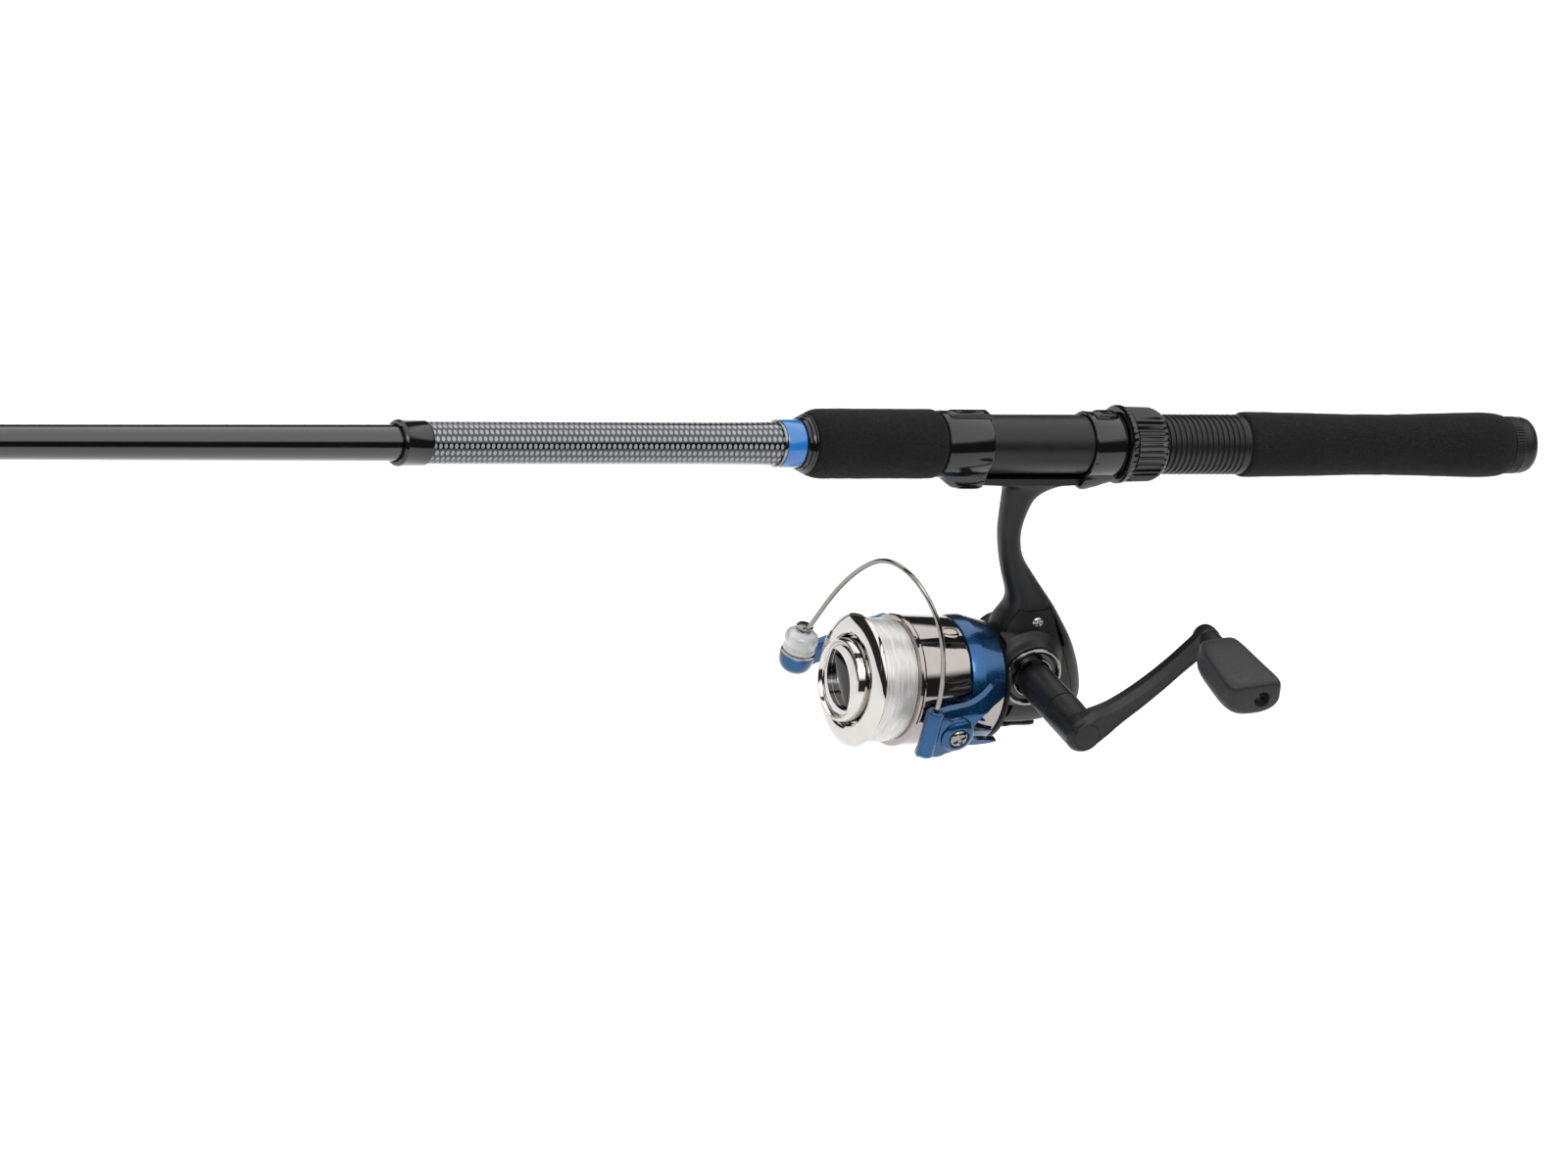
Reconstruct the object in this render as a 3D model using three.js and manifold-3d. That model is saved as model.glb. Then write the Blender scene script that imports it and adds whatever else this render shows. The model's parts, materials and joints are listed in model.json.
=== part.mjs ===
// Telescopic fishing rod with a front-drag spinning reel, in millimetres.
// Origin: on the rod's axis at the middle of the reel seat. +X runs to the butt, -X to the tip,
// +Z is up, the reel hangs towards -Z and its crank is on the -Y side.
import * as THREE from "three";
import { mergeVertices } from "three/addons/utils/BufferGeometryUtils.js";
import Module from "manifold-3d";

const wasm = await Module();
wasm.setup();

// ---- driving dimensions ----
const GAP = 0.3; // air left between pieces that touch on the real object

// rod
const COLLAR_FRONT = -265;
const COLLAR_BACK = -253;
const BLANK_BACK = 184;
const BLANK_R = 7.5;
const BLANK_FLARE_R = 8.1;
const BLANK_BORE_R = 6.95;
const TRIM_FRONT = -110;
const BAND_FRONT = -108.5;
const BAND_BACK = -101;
const FORE_GRIP_FRONT = -97;
const SEAT_FRONT = -44.4;
const HOOD_BACK = -25.5;
const BARREL_BACK = 16.5;
const THREAD_BACK = 82;
const GRIP_BACK = 192.3;
const BUTT_END = 202.6;
const GRIP_R = 12.6;
const SEAT_BARREL_R = 10.6;
const SEAT_HOOD_R = 11.9;
const THREAD_ROOT_R = 10.1;
const THREAD_CREST_R = 10.75;
const THREAD_PITCH = 2.2;
const HOOD_FRONT = 16.9;
const SLIDING_HOOD_BACK = 30;
const NUT_FRONT = 30.4;
const NUT_BACK = 46.6;
const POCKET_DROP = 15.9;
const NUT_BORE_R = THREAD_CREST_R + GAP;

// telescopic sections: each is the same length and rests pushed in, except the first one
const SECTION_LENGTH = 445;
const SECTION_OVERLAP = 35;
const GUIDE_STEP = 12; // how far each nested section stands out of the one around it
const SECTIONS = [
  { butt: 6.6, tip: 5.95, bore: 5.3, eye: 6.2, drop: 15 },
  { butt: 5.1, tip: 4.3, bore: 3.65, eye: 4.6, drop: 11.5 },
  { butt: 3.45, tip: 2.75, bore: 2.1, eye: 3.4, drop: 8.6 },
  { butt: 1.9, tip: 1.0, bore: 0, eye: 2.4, drop: 6 },
];

// reel
const SPOOL_Z = -96.5; // height of the spool's axis
const CRANK_X = 12.5;
const CRANK_Z = -86;
const PIVOT_X = -22.5; // bail pivots
const ARM_TILT = THREE.MathUtils.degToRad(7);
const BODY_FRONT = 1.6;
const BODY_HALF_WIDTH = 14;
const ROTOR_R = 23.8;
const SKIRT_R = 23.6;
const BOSS_END = -57.5; // where the crank arm is fixed on its shaft
const CRANK_REACH = [40.5, 38.5]; // crank arm, from the shaft to the knob pin, in X and Z
const KNOB_FRONT = -66.5;
const KNOB_BACK = -102;

const ROUND = 24; // sides of the large turned pieces
const SLIM = 20; // sides of the small turned pieces

// ---- solids ----
const group = new THREE.Group();
group.name = "fishing_rod_and_reel";

function solid(geometry) {
  const plain = geometry.index ? geometry.toNonIndexed() : geometry.clone();
  plain.deleteAttribute("normal");
  plain.deleteAttribute("uv");
  const merged = mergeVertices(plain, 1e-4);
  const make = (triVerts) =>
    new wasm.Manifold(
      new wasm.Mesh({
        numProp: 3,
        vertProperties: merged.attributes.position.array,
        triVerts,
      }),
    );
  const triangles = new Uint32Array(merged.index.array);
  const made = make(triangles);
  return made.volume() < 0 ? make(triangles.reverse()) : made;
}

const join = (first, ...rest) => rest.reduce((sum, piece) => sum.add(piece), first);
const cut = (first, ...rest) => rest.reduce((left, tool) => left.subtract(tool), first);

function add(name, shape, material) {
  const mesh = shape.getMesh();
  const points = new Float32Array(mesh.numVert * 3);
  for (let i = 0; i < mesh.numVert; i += 1) {
    points.set(mesh.vertProperties.subarray(i * mesh.numProp, i * mesh.numProp + 3), i * 3);
  }
  const geometry = new THREE.BufferGeometry()
    .setAttribute("position", new THREE.BufferAttribute(points, 3))
    .setIndex(new THREE.BufferAttribute(mesh.triVerts, 1));
  const node = new THREE.Mesh(geometry, material.clone());
  node.name = name;
  group.add(node);
}

// A turned solid. profile is a list of [distance along the axis, radius].
function turned(profile, sides) {
  return new THREE.LatheGeometry(
    profile.map(([along, radius]) => new THREE.Vector2(radius, along)),
    sides,
  );
}

function turnedX(profile, sides = SLIM, y = 0, z = 0) {
  return solid(turned(profile, sides).rotateZ(-Math.PI / 2).translate(0, y, z));
}

function turnedY(profile, sides = SLIM, x = 0, z = 0) {
  return solid(turned(profile, sides).translate(x, 0, z));
}

// Closes a profile that has a bore, by coming back along the bore's wall.
function bored(outside, boreFront, boreBack = boreFront) {
  const front = outside[0][0];
  const back = outside[outside.length - 1][0];
  return [...outside, [back, boreBack], [front, boreFront], outside[0]];
}

const full = (outside) => [
  [outside[0][0], 0],
  ...outside,
  [outside[outside.length - 1][0], 0],
];

function rodX(from, to, radius, sides, y, z) {
  return turnedX(full([[from, radius], [to, radius]]), sides, y, z);
}

function rodY(from, to, radius, sides, x, z) {
  return turnedY(full([[from, radius], [to, radius]]), sides, x, z);
}

function block(x, y, z) {
  const size = [x[1] - x[0], y[1] - y[0], z[1] - z[0]];
  return solid(
    new THREE.BoxGeometry(...size).translate(
      (x[0] + x[1]) / 2,
      (y[0] + y[1]) / 2,
      (z[0] + z[1]) / 2,
    ),
  );
}

// A plate whose outline is drawn in X and Z, between two Y values.
function plateY(shape, from, to, bevel = 0) {
  const geometry = new THREE.ExtrudeGeometry(shape, {
    depth: to - from - 2 * bevel,
    curveSegments: 6,
    bevelEnabled: bevel > 0,
    bevelThickness: bevel,
    bevelSize: bevel,
    bevelOffset: -bevel,
    bevelSegments: 2,
  });
  return solid(geometry.rotateX(Math.PI / 2).translate(0, to - bevel, 0));
}

// A plate whose outline is drawn in Y and Z, between two X values.
function plateX(shape, from, to) {
  const geometry = new THREE.ExtrudeGeometry(shape, {
    depth: to - from,
    curveSegments: 6,
    bevelEnabled: false,
  });
  return solid(geometry.rotateX(Math.PI / 2).rotateZ(Math.PI / 2).translate(from, 0, 0));
}

function outline(points) {
  return new THREE.Shape(points.map(([a, b]) => new THREE.Vector2(a, b)));
}

function wire(points, radius, steps, sides = 8) {
  const corners = Array.from({ length: sides }, (_, i) => (2 * Math.PI * i) / sides);
  const section = outline(corners.map((a) => [radius * Math.cos(a), radius * Math.sin(a)]));
  const path = new THREE.CatmullRomCurve3(points.map((p) => new THREE.Vector3(...p)));
  return solid(
    new THREE.ExtrudeGeometry(section, { steps, extrudePath: path, bevelEnabled: false }),
  );
}

// Turns a shape that was drawn about the spool's axis with its arms level to the real tilt.
function tilted(shape) {
  const degrees = THREE.MathUtils.radToDeg(ARM_TILT);
  return shape.translate([0, 0, -SPOOL_Z]).rotate([degrees, 0, 0]).translate([0, 0, SPOOL_Z]);
}

// ---- materials ----
const finish = (color, roughness, metalness = 0) =>
  new THREE.MeshStandardMaterial({ color, roughness, metalness });
const lacquer = finish(0x0b0b0d, 0.18);
const blueGloss = finish(0x2378c8, 0.2);
const blueMetallic = finish(0x1f5fa5, 0.28, 0.5);
const eva = finish(0x242424, 0.9);
const satinBlack = finish(0x1b1b1d, 0.45);
const glossBlack = finish(0x141416, 0.22);
const chrome = finish(0xd5d5d8, 0.08, 1);
const darkChrome = finish(0x5c5458, 0.12, 1);
const steel = finish(0xa8a8aa, 0.25, 1);
const brass = finish(0xb8923f, 0.35, 1);
const zincAlloy = finish(0x9a9a9c, 0.45, 1);
const ceramic = finish(0x3a3a3e, 0.15);
const line = finish(0xdcdfe2, 0.4);
const clearPlastic = finish(0xe6e8ea, 0.15);
const felt = finish(0x4a4038, 0.95);

// ---- rod ----
function makeBlank() {
  add(
    "butt_blank",
    turnedX(
      bored(
        [
          [COLLAR_BACK + GAP, BLANK_R],
          [-130, BLANK_R],
          [TRIM_FRONT, BLANK_FLARE_R - 0.3],
          [TRIM_FRONT + 1, BLANK_R],
          [BLANK_BACK, BLANK_R],
        ],
        BLANK_BORE_R,
      ),
    ),
    lacquer,
  );
  add(
    "joint_collar",
    turnedX(
      bored(
        [[COLLAR_FRONT, 7.9], [COLLAR_FRONT + 0.8, 8.4], [COLLAR_BACK - 0.8, 8.4], [COLLAR_BACK, 7.9]],
        6.8,
      ),
    ),
    lacquer,
  );
  const over = BLANK_R + GAP;
  add("trim_ring", turnedX(bored([[TRIM_FRONT + 0.2, 8.5], [BAND_FRONT - GAP, 8.5]], over)), steel);
  add("accent_band", turnedX(bored([[BAND_FRONT, 8.5], [BAND_BACK, 8.9]], over)), blueGloss);
}

function makeGrips() {
  const over = BLANK_R + GAP;
  add(
    "grip_check",
    turnedX(bored([[BAND_BACK + GAP, 9.5], [-99, 10.6], [FORE_GRIP_FRONT - GAP, 10.8]], over)),
    satinBlack,
  );
  add(
    "fore_grip",
    turnedX(
      bored([[FORE_GRIP_FRONT, 11], [-94.5, 12.1], [-91.5, GRIP_R], [-46, GRIP_R], [SEAT_FRONT - GAP, 12.2]], over),
    ),
    eva,
  );
  add(
    "rear_grip",
    turnedX(
      bored(
        [
          [THREAD_BACK + GAP, 11.4],
          [83.5, 11.8],
          [110, 11.35],
          [139, 11],
          [165, 11.4],
          [182, 11.7],
          [189, 11.5],
          [GRIP_BACK, 10.4],
        ],
        over,
      ),
      24,
    ),
    eva,
  );
  const plug = BLANK_BORE_R - GAP;
  add(
    "butt_cap",
    turnedX([
      [BLANK_BACK - 6, 0],
      [BLANK_BACK - 6, plug],
      [BLANK_BACK + GAP, plug],
      [BLANK_BACK + GAP, BLANK_R - 0.4],
      [GRIP_BACK + GAP, BLANK_R - 0.4],
      [GRIP_BACK + GAP, 10.3],
      [199.6, 10.3],
      [201.8, 9.4],
      [BUTT_END, 7.8],
      [BUTT_END, 0],
    ]),
    glossBlack,
  );
}

// The pocket under a hood that holds one end of the reel's foot.
function pocket(from, to, drop) {
  const half = [[8.2, -4], [8.2, -12], [7.4, -14.6], [5, -drop]];
  return plateX(outline([...half.map(([y, z]) => [-y, z]), ...half.reverse()]), from, to);
}

function footSpace(from, to) {
  return block([from, to], [-6.6, 6.6], [-14, -10.4]);
}

function makeSeat() {
  const over = BLANK_R + GAP;
  const threads = [];
  for (let x = NUT_BACK - 12; x < THREAD_BACK - THREAD_PITCH; x += THREAD_PITCH) {
    threads.push([x, THREAD_ROOT_R], [x + THREAD_PITCH / 2, THREAD_CREST_R]);
  }
  const barrel = turnedX(
    bored(
      [
        [SEAT_FRONT, 11],
        [SEAT_FRONT + 1.5, SEAT_HOOD_R],
        [HOOD_BACK - 0.5, SEAT_HOOD_R],
        [HOOD_BACK, SEAT_BARREL_R],
        [BARREL_BACK, SEAT_BARREL_R],
        [BARREL_BACK + 0.5, THREAD_ROOT_R],
        ...threads,
        [THREAD_BACK, THREAD_CREST_R],
      ],
      over,
    ),
    16,
  );
  const rail = block([SEAT_FRONT + 3, HOOD_BACK + 1.5], [-2.2, 2.2], [9, 13]);
  const seat = cut(
    join(barrel, pocket(SEAT_FRONT + 4.5, HOOD_BACK + 1.5, POCKET_DROP), rail),
    footSpace(SEAT_FRONT + 7, 60),
    rodX(SEAT_FRONT - 5, 120, over, SLIM),
  );
  add("reel_seat", seat, satinBlack);
}

function makeSlidingHood() {
  const inner = SEAT_BARREL_R + GAP;
  const shell = turnedX(full([[HOOD_FRONT, SEAT_HOOD_R], [SLIDING_HOOD_BACK, SEAT_HOOD_R]]), ROUND);
  const key = block([HOOD_FRONT + 2, SLIDING_HOOD_BACK - 2], [-2.2, 2.2], [9, 13]);
  const hood = cut(
    join(shell, pocket(HOOD_FRONT, SLIDING_HOOD_BACK - 3, POCKET_DROP), key),
    rodX(0, 60, inner, ROUND),
    footSpace(0, SLIDING_HOOD_BACK - 5),
  );
  add("sliding_hood", hood, glossBlack);
}

function makeLockNut() {
  const profile = bored(
    [[NUT_FRONT, 13.7], [NUT_FRONT + 0.5, 14.1], [33, 14.1], [33.4, 12.9], [45.8, 12.9], [NUT_BACK, 12.2]],
    NUT_BORE_R,
  );
  const ribs = [];
  const count = 12;
  for (let i = 0; i < count; i += 1) {
    ribs.push(
      block([33, 45.6], [-1.1, 1.1], [12.2, 13.5]).rotate([(360 * i) / count, 0, 0]),
    );
  }
  add("lock_nut", join(turnedX(profile, ROUND), ...ribs), satinBlack);
}

// ---- telescopic sections and line guides ----
function sectionTip(index) {
  return COLLAR_FRONT + SECTION_OVERLAP - SECTION_LENGTH - index * GUIDE_STEP;
}

function makeSections() {
  SECTIONS.forEach((size, index) => {
    const tip = sectionTip(index);
    const butt = tip + SECTION_LENGTH;
    const outside = [[tip, size.tip], [butt, size.butt]];
    const profile = size.bore ? bored(outside, size.bore, size.bore + 0.5) : full(outside);
    add(`section_${index + 2}`, turnedX(profile, SLIM), lacquer);
  });
}

// A guide is a sleeve on the section's tip with a ring hung under it, leaning towards the tip.
function makeGuide(index) {
  const size = SECTIONS[index];
  const tip = sectionTip(index);
  const last = index === SECTIONS.length - 1;
  const front = tip - (last ? 1.5 : 0.2);
  const back = tip + 9;
  const sleeveR = size.tip + 1.3;
  const bore = size.tip + 0.22;
  const lean = THREE.MathUtils.degToRad(18);
  const low = -size.drop - (last ? 0 : size.tip);
  const place = (shape) => solid(shape.rotateY(Math.PI / 2 - lean).translate(tip + 3.4, 0, low));
  const rim = place(new THREE.TorusGeometry(size.eye + 0.7, 0.75, 5, 16));
  const legs = [-1, 1].map((side) => {
    const spread = side * Math.min(size.eye * 0.75, sleeveR * 0.8);
    const start = [tip + 6.5, spread * 0.8, -sleeveR * 0.55];
    const end = [tip + 2.2, side * (size.eye + 0.7) * 0.8, low + (size.eye + 0.7) * 0.6];
    return wire([start, end], 0.75, 1, 5);
  });
  const brace = wire([[back - 1.5, 0, -sleeveR + 0.4], [tip + 4.6, 0, low + size.eye + 0.8]], 0.75, 1, 5);
  const sleeve = turnedX(full([[front, sleeveR], [back, sleeveR - 0.4]]), 16);
  const room = rodX(last ? tip - 0.3 : tip - 5, back + 5, bore, 16);
  const hole = solid(
    new THREE.CylinderGeometry(size.eye, size.eye, 8, 16).rotateX(Math.PI / 2).rotateY(Math.PI / 2 - lean)
      .translate(tip + 3.4, 0, low),
  );
  add(`guide_frame_${index + 2}`, cut(join(sleeve, rim, ...legs, brace), room, hole), steel);
  const insert = new THREE.LatheGeometry(
    [[size.eye - 0.25, 0.9], [size.eye - 1.3, 0.5], [size.eye - 1.3, -0.5], [size.eye - 0.25, -0.9], [size.eye - 0.25, 0.9]]
      .map(([r, h]) => new THREE.Vector2(r, h)),
    16,
  ).rotateX(Math.PI / 2);
  add(`guide_ring_${index + 2}`, place(insert), ceramic);
}

// ---- reel body ----
const BODY_SIDE = [
  [-9.8, -15], [-9.8, -19], [-8, -30], [-6.9, -36.5], [-4.1, -44.5], [-0.4, -52.6], [4.1, -60.6], [4.5, -64.6],
  [3.3, -68.8], [BODY_FRONT, -71.5], [BODY_FRONT, -111], [8, -111.8], [20, -111.3], [30, -109], [38, -105.5],
  [41.5, -101.5], [42, -98], [39.9, -92], [36.5, -84], [32.7, -77.5], [28.3, -71.5], [23, -64.8], [16, -57.4],
  [10.3, -51.3], [4.8, -45.2], [2, -39.8], [1, -34.5], [0.5, -26.5], [1.1, -22], [4, -18.5], [9, -16.6], [9, -15],
];
const BODY_SECTION = [
  [6.4, -10], [6.4, -17], [4.4, -21], [4.4, -52], [6, -60], [8.5, -66], [12.5, -71], [BODY_HALF_WIDTH, -76],
  [BODY_HALF_WIDTH, -100], [10, -108], [5, -112.5],
];
const BODY_PLAN = [[16, 30], [16, -24], [12.5, -31], [9.5, -37], [5.5, -43]]; // half width, minus X
const ROOM_SIDE = [[2.8, -75.6], [25, -75.6], [31, -86], [34.8, -98.5], [30, -106.5], [2.8, -106.5]];
const COVER_SIDE = [[4, -71.5], [22, -70.5], [28, -77], [33, -85.5], [37.5, -97], [35.5, -103], [28, -107], [4, -107]];
const COVER_SCREWS = [[13.1, -67.8, -10.3], [33.6, -98.6, -BODY_HALF_WIDTH - 0.4]];
const OSCILLATION_AXIS = [27, -98]; // X and Z of the oscillation gear
const COVER_INSIDE = -11.8;
const BOSS_FACE = -15.6;
const BOSS_R = 12;
const NOSE_R = 17.5;
const NOSE_FRONT = -9;

function mirrored(half) {
  return [...half.map(([y, z]) => [-y, z]), ...half.slice().reverse()];
}

function makeBody() {
  const side = plateY(outline(BODY_SIDE), -16, 16);
  const plan = solid(
    new THREE.ExtrudeGeometry(outline(mirrored(BODY_PLAN)), { depth: 130, bevelEnabled: false })
      .rotateZ(Math.PI / 2)
      .translate(0, 0, -125),
  );
  const slab = side.intersect(plateX(outline(mirrored(BODY_SECTION)), -20, 60)).intersect(plan);
  const flange = turnedX(
    full([[BODY_FRONT, 21], [BODY_FRONT + 2, 21.5], [11, 15.5]]), ROUND, 0, SPOOL_Z,
  );
  const nose = rodX(NOSE_FRONT, BODY_FRONT + 1, NOSE_R, ROUND, 0, SPOOL_Z);
  const foot = block([SEAT_FRONT + 8, HOOD_FRONT + 7.6], [-6.2, 6.2], [-13.5, -11]);
  const footBlend = plateY(
    outline([[-21, -13], [-12, -15.2], [-9.8, -19], [4, -18.5], [9, -16.5], [14, -14.6], [16, -13]]), -5.6, 5.6,
  );
  const behindRotor = block([BODY_FRONT, 60], [-40, 40], [-130, -60]);
  const boss = rodY(-5, -BOSS_FACE, BOSS_R, ROUND, CRANK_X, CRANK_Z).intersect(behindRotor);
  const post = rodY(3.2, 12.5, 1.5, 12, ...OSCILLATION_AXIS);
  const screwHoles = COVER_SCREWS.map(([x, z, face]) => rodY(face - 9, face + 3, 1.95, 12, x, z));
  const outer = join(slab, flange, nose, foot, footBlend, boss);
  const gearRoom = [[0.9, 3.5], [1.7, 5.9]].map(([front, half]) =>
    block([front, 4], [-9.4, -3.2], [CRANK_Z - half, CRANK_Z + half]),
  );
  const room = join(plateY(outline(ROOM_SIDE), -11.5, 11.5), ...gearRoom);
  const coverRoom = plateY(outline(COVER_SIDE), -30, -11);
  const bossRoom = rodY(-30, -11, BOSS_R + GAP, ROUND, CRANK_X, CRANK_Z);
  const crankBore = rodY(-30, 30, 5.3, SLIM, CRANK_X, CRANK_Z);
  const pinionBore = rodX(-20, 4, 7.4, SLIM, 0, SPOOL_Z);
  const capRoom = rodY(-BOSS_FACE, 30, 7.4, SLIM, CRANK_X, CRANK_Z);
  const hollow = cut(outer, room, coverRoom, bossRoom, crankBore, pinionBore, capRoom, ...screwHoles);
  add("reel_body", join(hollow, post), satinBlack);
}

function makeCover() {
  const inset = COVER_SIDE.map(([x, z]) => [x + (x > 20 ? -GAP : GAP), z + (z > -90 ? -GAP : GAP)]);
  const plate = plateY(outline(inset), -BODY_HALF_WIDTH, COVER_INSIDE);
  const boss = rodY(BOSS_FACE, COVER_INSIDE, BOSS_R, ROUND, CRANK_X, CRANK_Z);
  const screwHoles = COVER_SCREWS.map(([x, z]) => rodY(-20, 0, 1.95, 12, x, z));
  const crankHole = rodY(-30, 0, 6.9, SLIM, CRANK_X, CRANK_Z);
  const flangeRoom = turnedX(
    full([[-12, 24.5], [2, 24.5], [4, 22.2], [11.5, 15.9]]), ROUND, 0, SPOOL_Z,
  );
  add("side_cover", cut(join(plate, boss), flangeRoom, crankHole, ...screwHoles), satinBlack);
  COVER_SCREWS.forEach(([x, z, face], index) => {
    const profile = full([[0, 1.1], [0.4, 1.6], [2.1, 1.6], [2.3, 1]]).map(([along, radius]) => [face + along, radius]);
    add(`cover_screw_${index + 1}`, turnedY(profile, 12, x, z), steel);
  });
}

// What the housing holds, and the small parts on it.
function makeGearbox() {
  const ring = (from, to, outer, bore) => bored([[from, outer], [to, outer]], bore);
  const collar = turnedY(ring(-17.4, BOSS_FACE - GAP, 11.4, 6.8), ROUND, CRANK_X, CRANK_Z);
  add("crank_collar", collar.intersect(block([BODY_FRONT, 60], [-40, 40], [-130, -60])), chrome);
  add("crank_bearing", turnedY(ring(12, 15, 5, 3.5), SLIM, CRANK_X, CRANK_Z), steel);
  add("screw_cap", turnedY(full([[15.9, 6.6], [18.4, 6.6], [19.4, 5.6]]), SLIM, CRANK_X, CRANK_Z), satinBlack);
  add("pinion_bearing", turnedX(ring(-8.6, -4.6, 7.1, 3.6), SLIM, 0, SPOOL_Z), steel);
  add("pinion_gear", turnedX(bored([[-16.5, 3.3], [8, 3.3]], 2.3), SLIM, 0, SPOOL_Z), brass);
  const teeth = [];
  const count = 16;
  for (let i = 0; i < count; i += 1) {
    const tooth = block([7.6, 9.8], [-4.6, -3.8], [-0.4, 0.4]);
    teeth.push(tooth.rotate([0, (360 * i) / count, 0]).translate([CRANK_X, 0, CRANK_Z]));
  }
  const disc = turnedY(
    bored([[-10.5, 5], [-8, 5], [-7.9, 9.8], [-4.4, 9.8]], 3.5), ROUND, CRANK_X, CRANK_Z,
  );
  add("drive_gear", join(disc, ...teeth), zincAlloy);
  add("oscillation_gear", turnedY(ring(4, 6.2, 6.4, 1.8), 24, ...OSCILLATION_AXIS), brass);
  add("main_shaft", rodX(-53.5, 33, 2, SLIM, 0, SPOOL_Z), steel);
  const slider = block([27.5, 31.5], [-3.2, 3.2], [-103, -91]);
  add("oscillation_slider", cut(slider, rodX(0, 60, 2.3, SLIM, 0, SPOOL_Z)), zincAlloy);
  const lever = plateX(outline([[-2.6, -114.1], [2.6, -114.1], [2.6, -112.9], [-2.6, -112.9]]), 16, 29);
  const knuckle = solid(
    new THREE.CylinderGeometry(3.4, 3.4, 1.2, 16).rotateX(Math.PI / 2).translate(16, 0, -113.5),
  );
  add("anti_reverse_lever", join(lever, knuckle), satinBlack);
}

// ---- rotor and bail ----
function makeRotor() {
  const cup = turnedX(
    [
      [-13.9, 3.6], [-13.9, 22.6], [-12.6, 23.8], [-3.8, ROTOR_R], [-3.8, 18.4], [-10.6, 18.4], [-10.6, 3.6],
      [-13.9, 3.6],
    ],
    ROUND,
    0,
    SPOOL_Z,
  );
  const arms = [-1, 1].map((side) => {
    const low = side < 0 ? -30 : 26.4;
    const plate = plateY(
      outline([[-3.8, 11], [-3.8, -10.5], [-11, -11], [-23, -8], [-28.5, -3], [-28.5, 3], [-25, 6.5], [-12, 11]]),
      low,
      low + 3.6,
      0.5,
    ).translate([0, 0, SPOOL_Z]);
    const root = side < 0 ? [-29.5, -17] : [17, 29.5];
    const web = block([-8.6, -3.9], root, [SPOOL_Z - 10, SPOOL_Z + 9.5]);
    const window = plateY(outline([[-8, 6], [-7.5, -7.5], [-13, -7.5], [-16, -3]]), low - 2, low + 6)
      .translate([0, 0, SPOOL_Z]);
    return cut(join(plate, web), window, rodY(-40, 40, 1.9, 12, PIVOT_X, SPOOL_Z));
  });
  const cavity = rodX(-10.6, 10, 18.4, ROUND, 0, SPOOL_Z);
  add("rotor", tilted(cut(join(cup, ...arms), cavity)), blueMetallic);
  add("rotor_rear_band", turnedX(bored([[-3.5, 23], [1.2, 23]], 18.4), ROUND, 0, SPOOL_Z), darkChrome);
  const hexagon = rodX(-17.4, -14.2, 6, 6, 0, SPOOL_Z);
  add("rotor_nut", cut(hexagon, rodX(-20, 0, 3.6, SLIM, 0, SPOOL_Z)), brass);
}

function capsule(from, to, radiusFrom, radiusTo) {
  const angle = Math.atan2(to[1] - from[1], to[0] - from[0]);
  return new THREE.Shape()
    .absarc(from[0], from[1], radiusFrom, angle + Math.PI / 2, angle + (3 * Math.PI) / 2)
    .absarc(to[0], to[1], radiusTo, angle - Math.PI / 2, angle + Math.PI / 2);
}

const WIRE_ROUTE = [
  [-54.6, 30.4, -93.6], [-52.8, 20, -68.5], [-51, 3, -48], [-46.5, -14, -46], [-39.5, -25, -56.5],
  [-35.5, -30, -70], [-33.4, -31.8, -84], [-33.3, -31.8, -93.4],
];
const WIRE_R = 0.9;
const BAIL_BOSS = [-33.3, -31.8];
const ROLLER = [-54.3, 33];

function makeBail() {
  const arm = (side, end, radius) =>
    plateY(capsule([PIVOT_X, 0], end, 6.6, radius), side < 0 ? -34 : 30.3, side < 0 ? -30.3 : 34, 0.6)
      .translate([0, 0, SPOOL_Z]);
  const pivotHole = rodY(-50, 50, 1.9, 12, PIVOT_X, SPOOL_Z);
  const nearPlate = tilted(cut(arm(-1, [-32.5, 0.5], 5.4), pivotHole));
  const upright = (radius, from, to, [x, y], sides) =>
    solid(
      new THREE.CylinderGeometry(radius, radius, to - from, sides).rotateX(Math.PI / 2)
        .translate(x, y, (from + to) / 2),
    );
  const boss = upright(3.3, -109, -91.5, BAIL_BOSS, 16);
  const wireRoom = upright(WIRE_R + 0.25, -94, -90, BAIL_BOSS, 12);
  add("near_bail_arm", cut(join(nearPlate, boss), wireRoom), blueMetallic);
  const farPlate = tilted(cut(arm(1, [-49.5, -17], 3.2), pivotHole));
  const cup = upright(6.4, -110, -104.2, ROLLER, 20);
  const pin = upright(1.8, -105, -94.6, ROLLER, 12);
  const shelf = upright(3.2, -94.6, -92.4, ROLLER, 16);
  add("far_bail_arm", join(farPlate, cup, pin, shelf), blueMetallic);
  const roller = upright(6.2, -103.9, -95.2, ROLLER, 20);
  add("line_roller", cut(roller, upright(2.1, -110, -90, ROLLER, 12)), clearPlastic);
  const rollerRoom = upright(3.5, -96, -92.1, ROLLER, 16);
  add("bail_wire", cut(wire(WIRE_ROUTE, WIRE_R, 36, 6), rollerRoom), steel);
  [["near", -1], ["far", 1]].forEach(([name, side]) => {
    const profile = full([[0, 1.6], [9.6, 1.6], [9.7, 2.9], [10.6, 2.9], [11.2, 2.1]])
      .map(([along, radius]) => [side * (24.9 + along), radius]);
    add(`${name}_pivot_screw`, tilted(turnedY(profile, 16, PIVOT_X, SPOOL_Z)), steel);
  });
}

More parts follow.
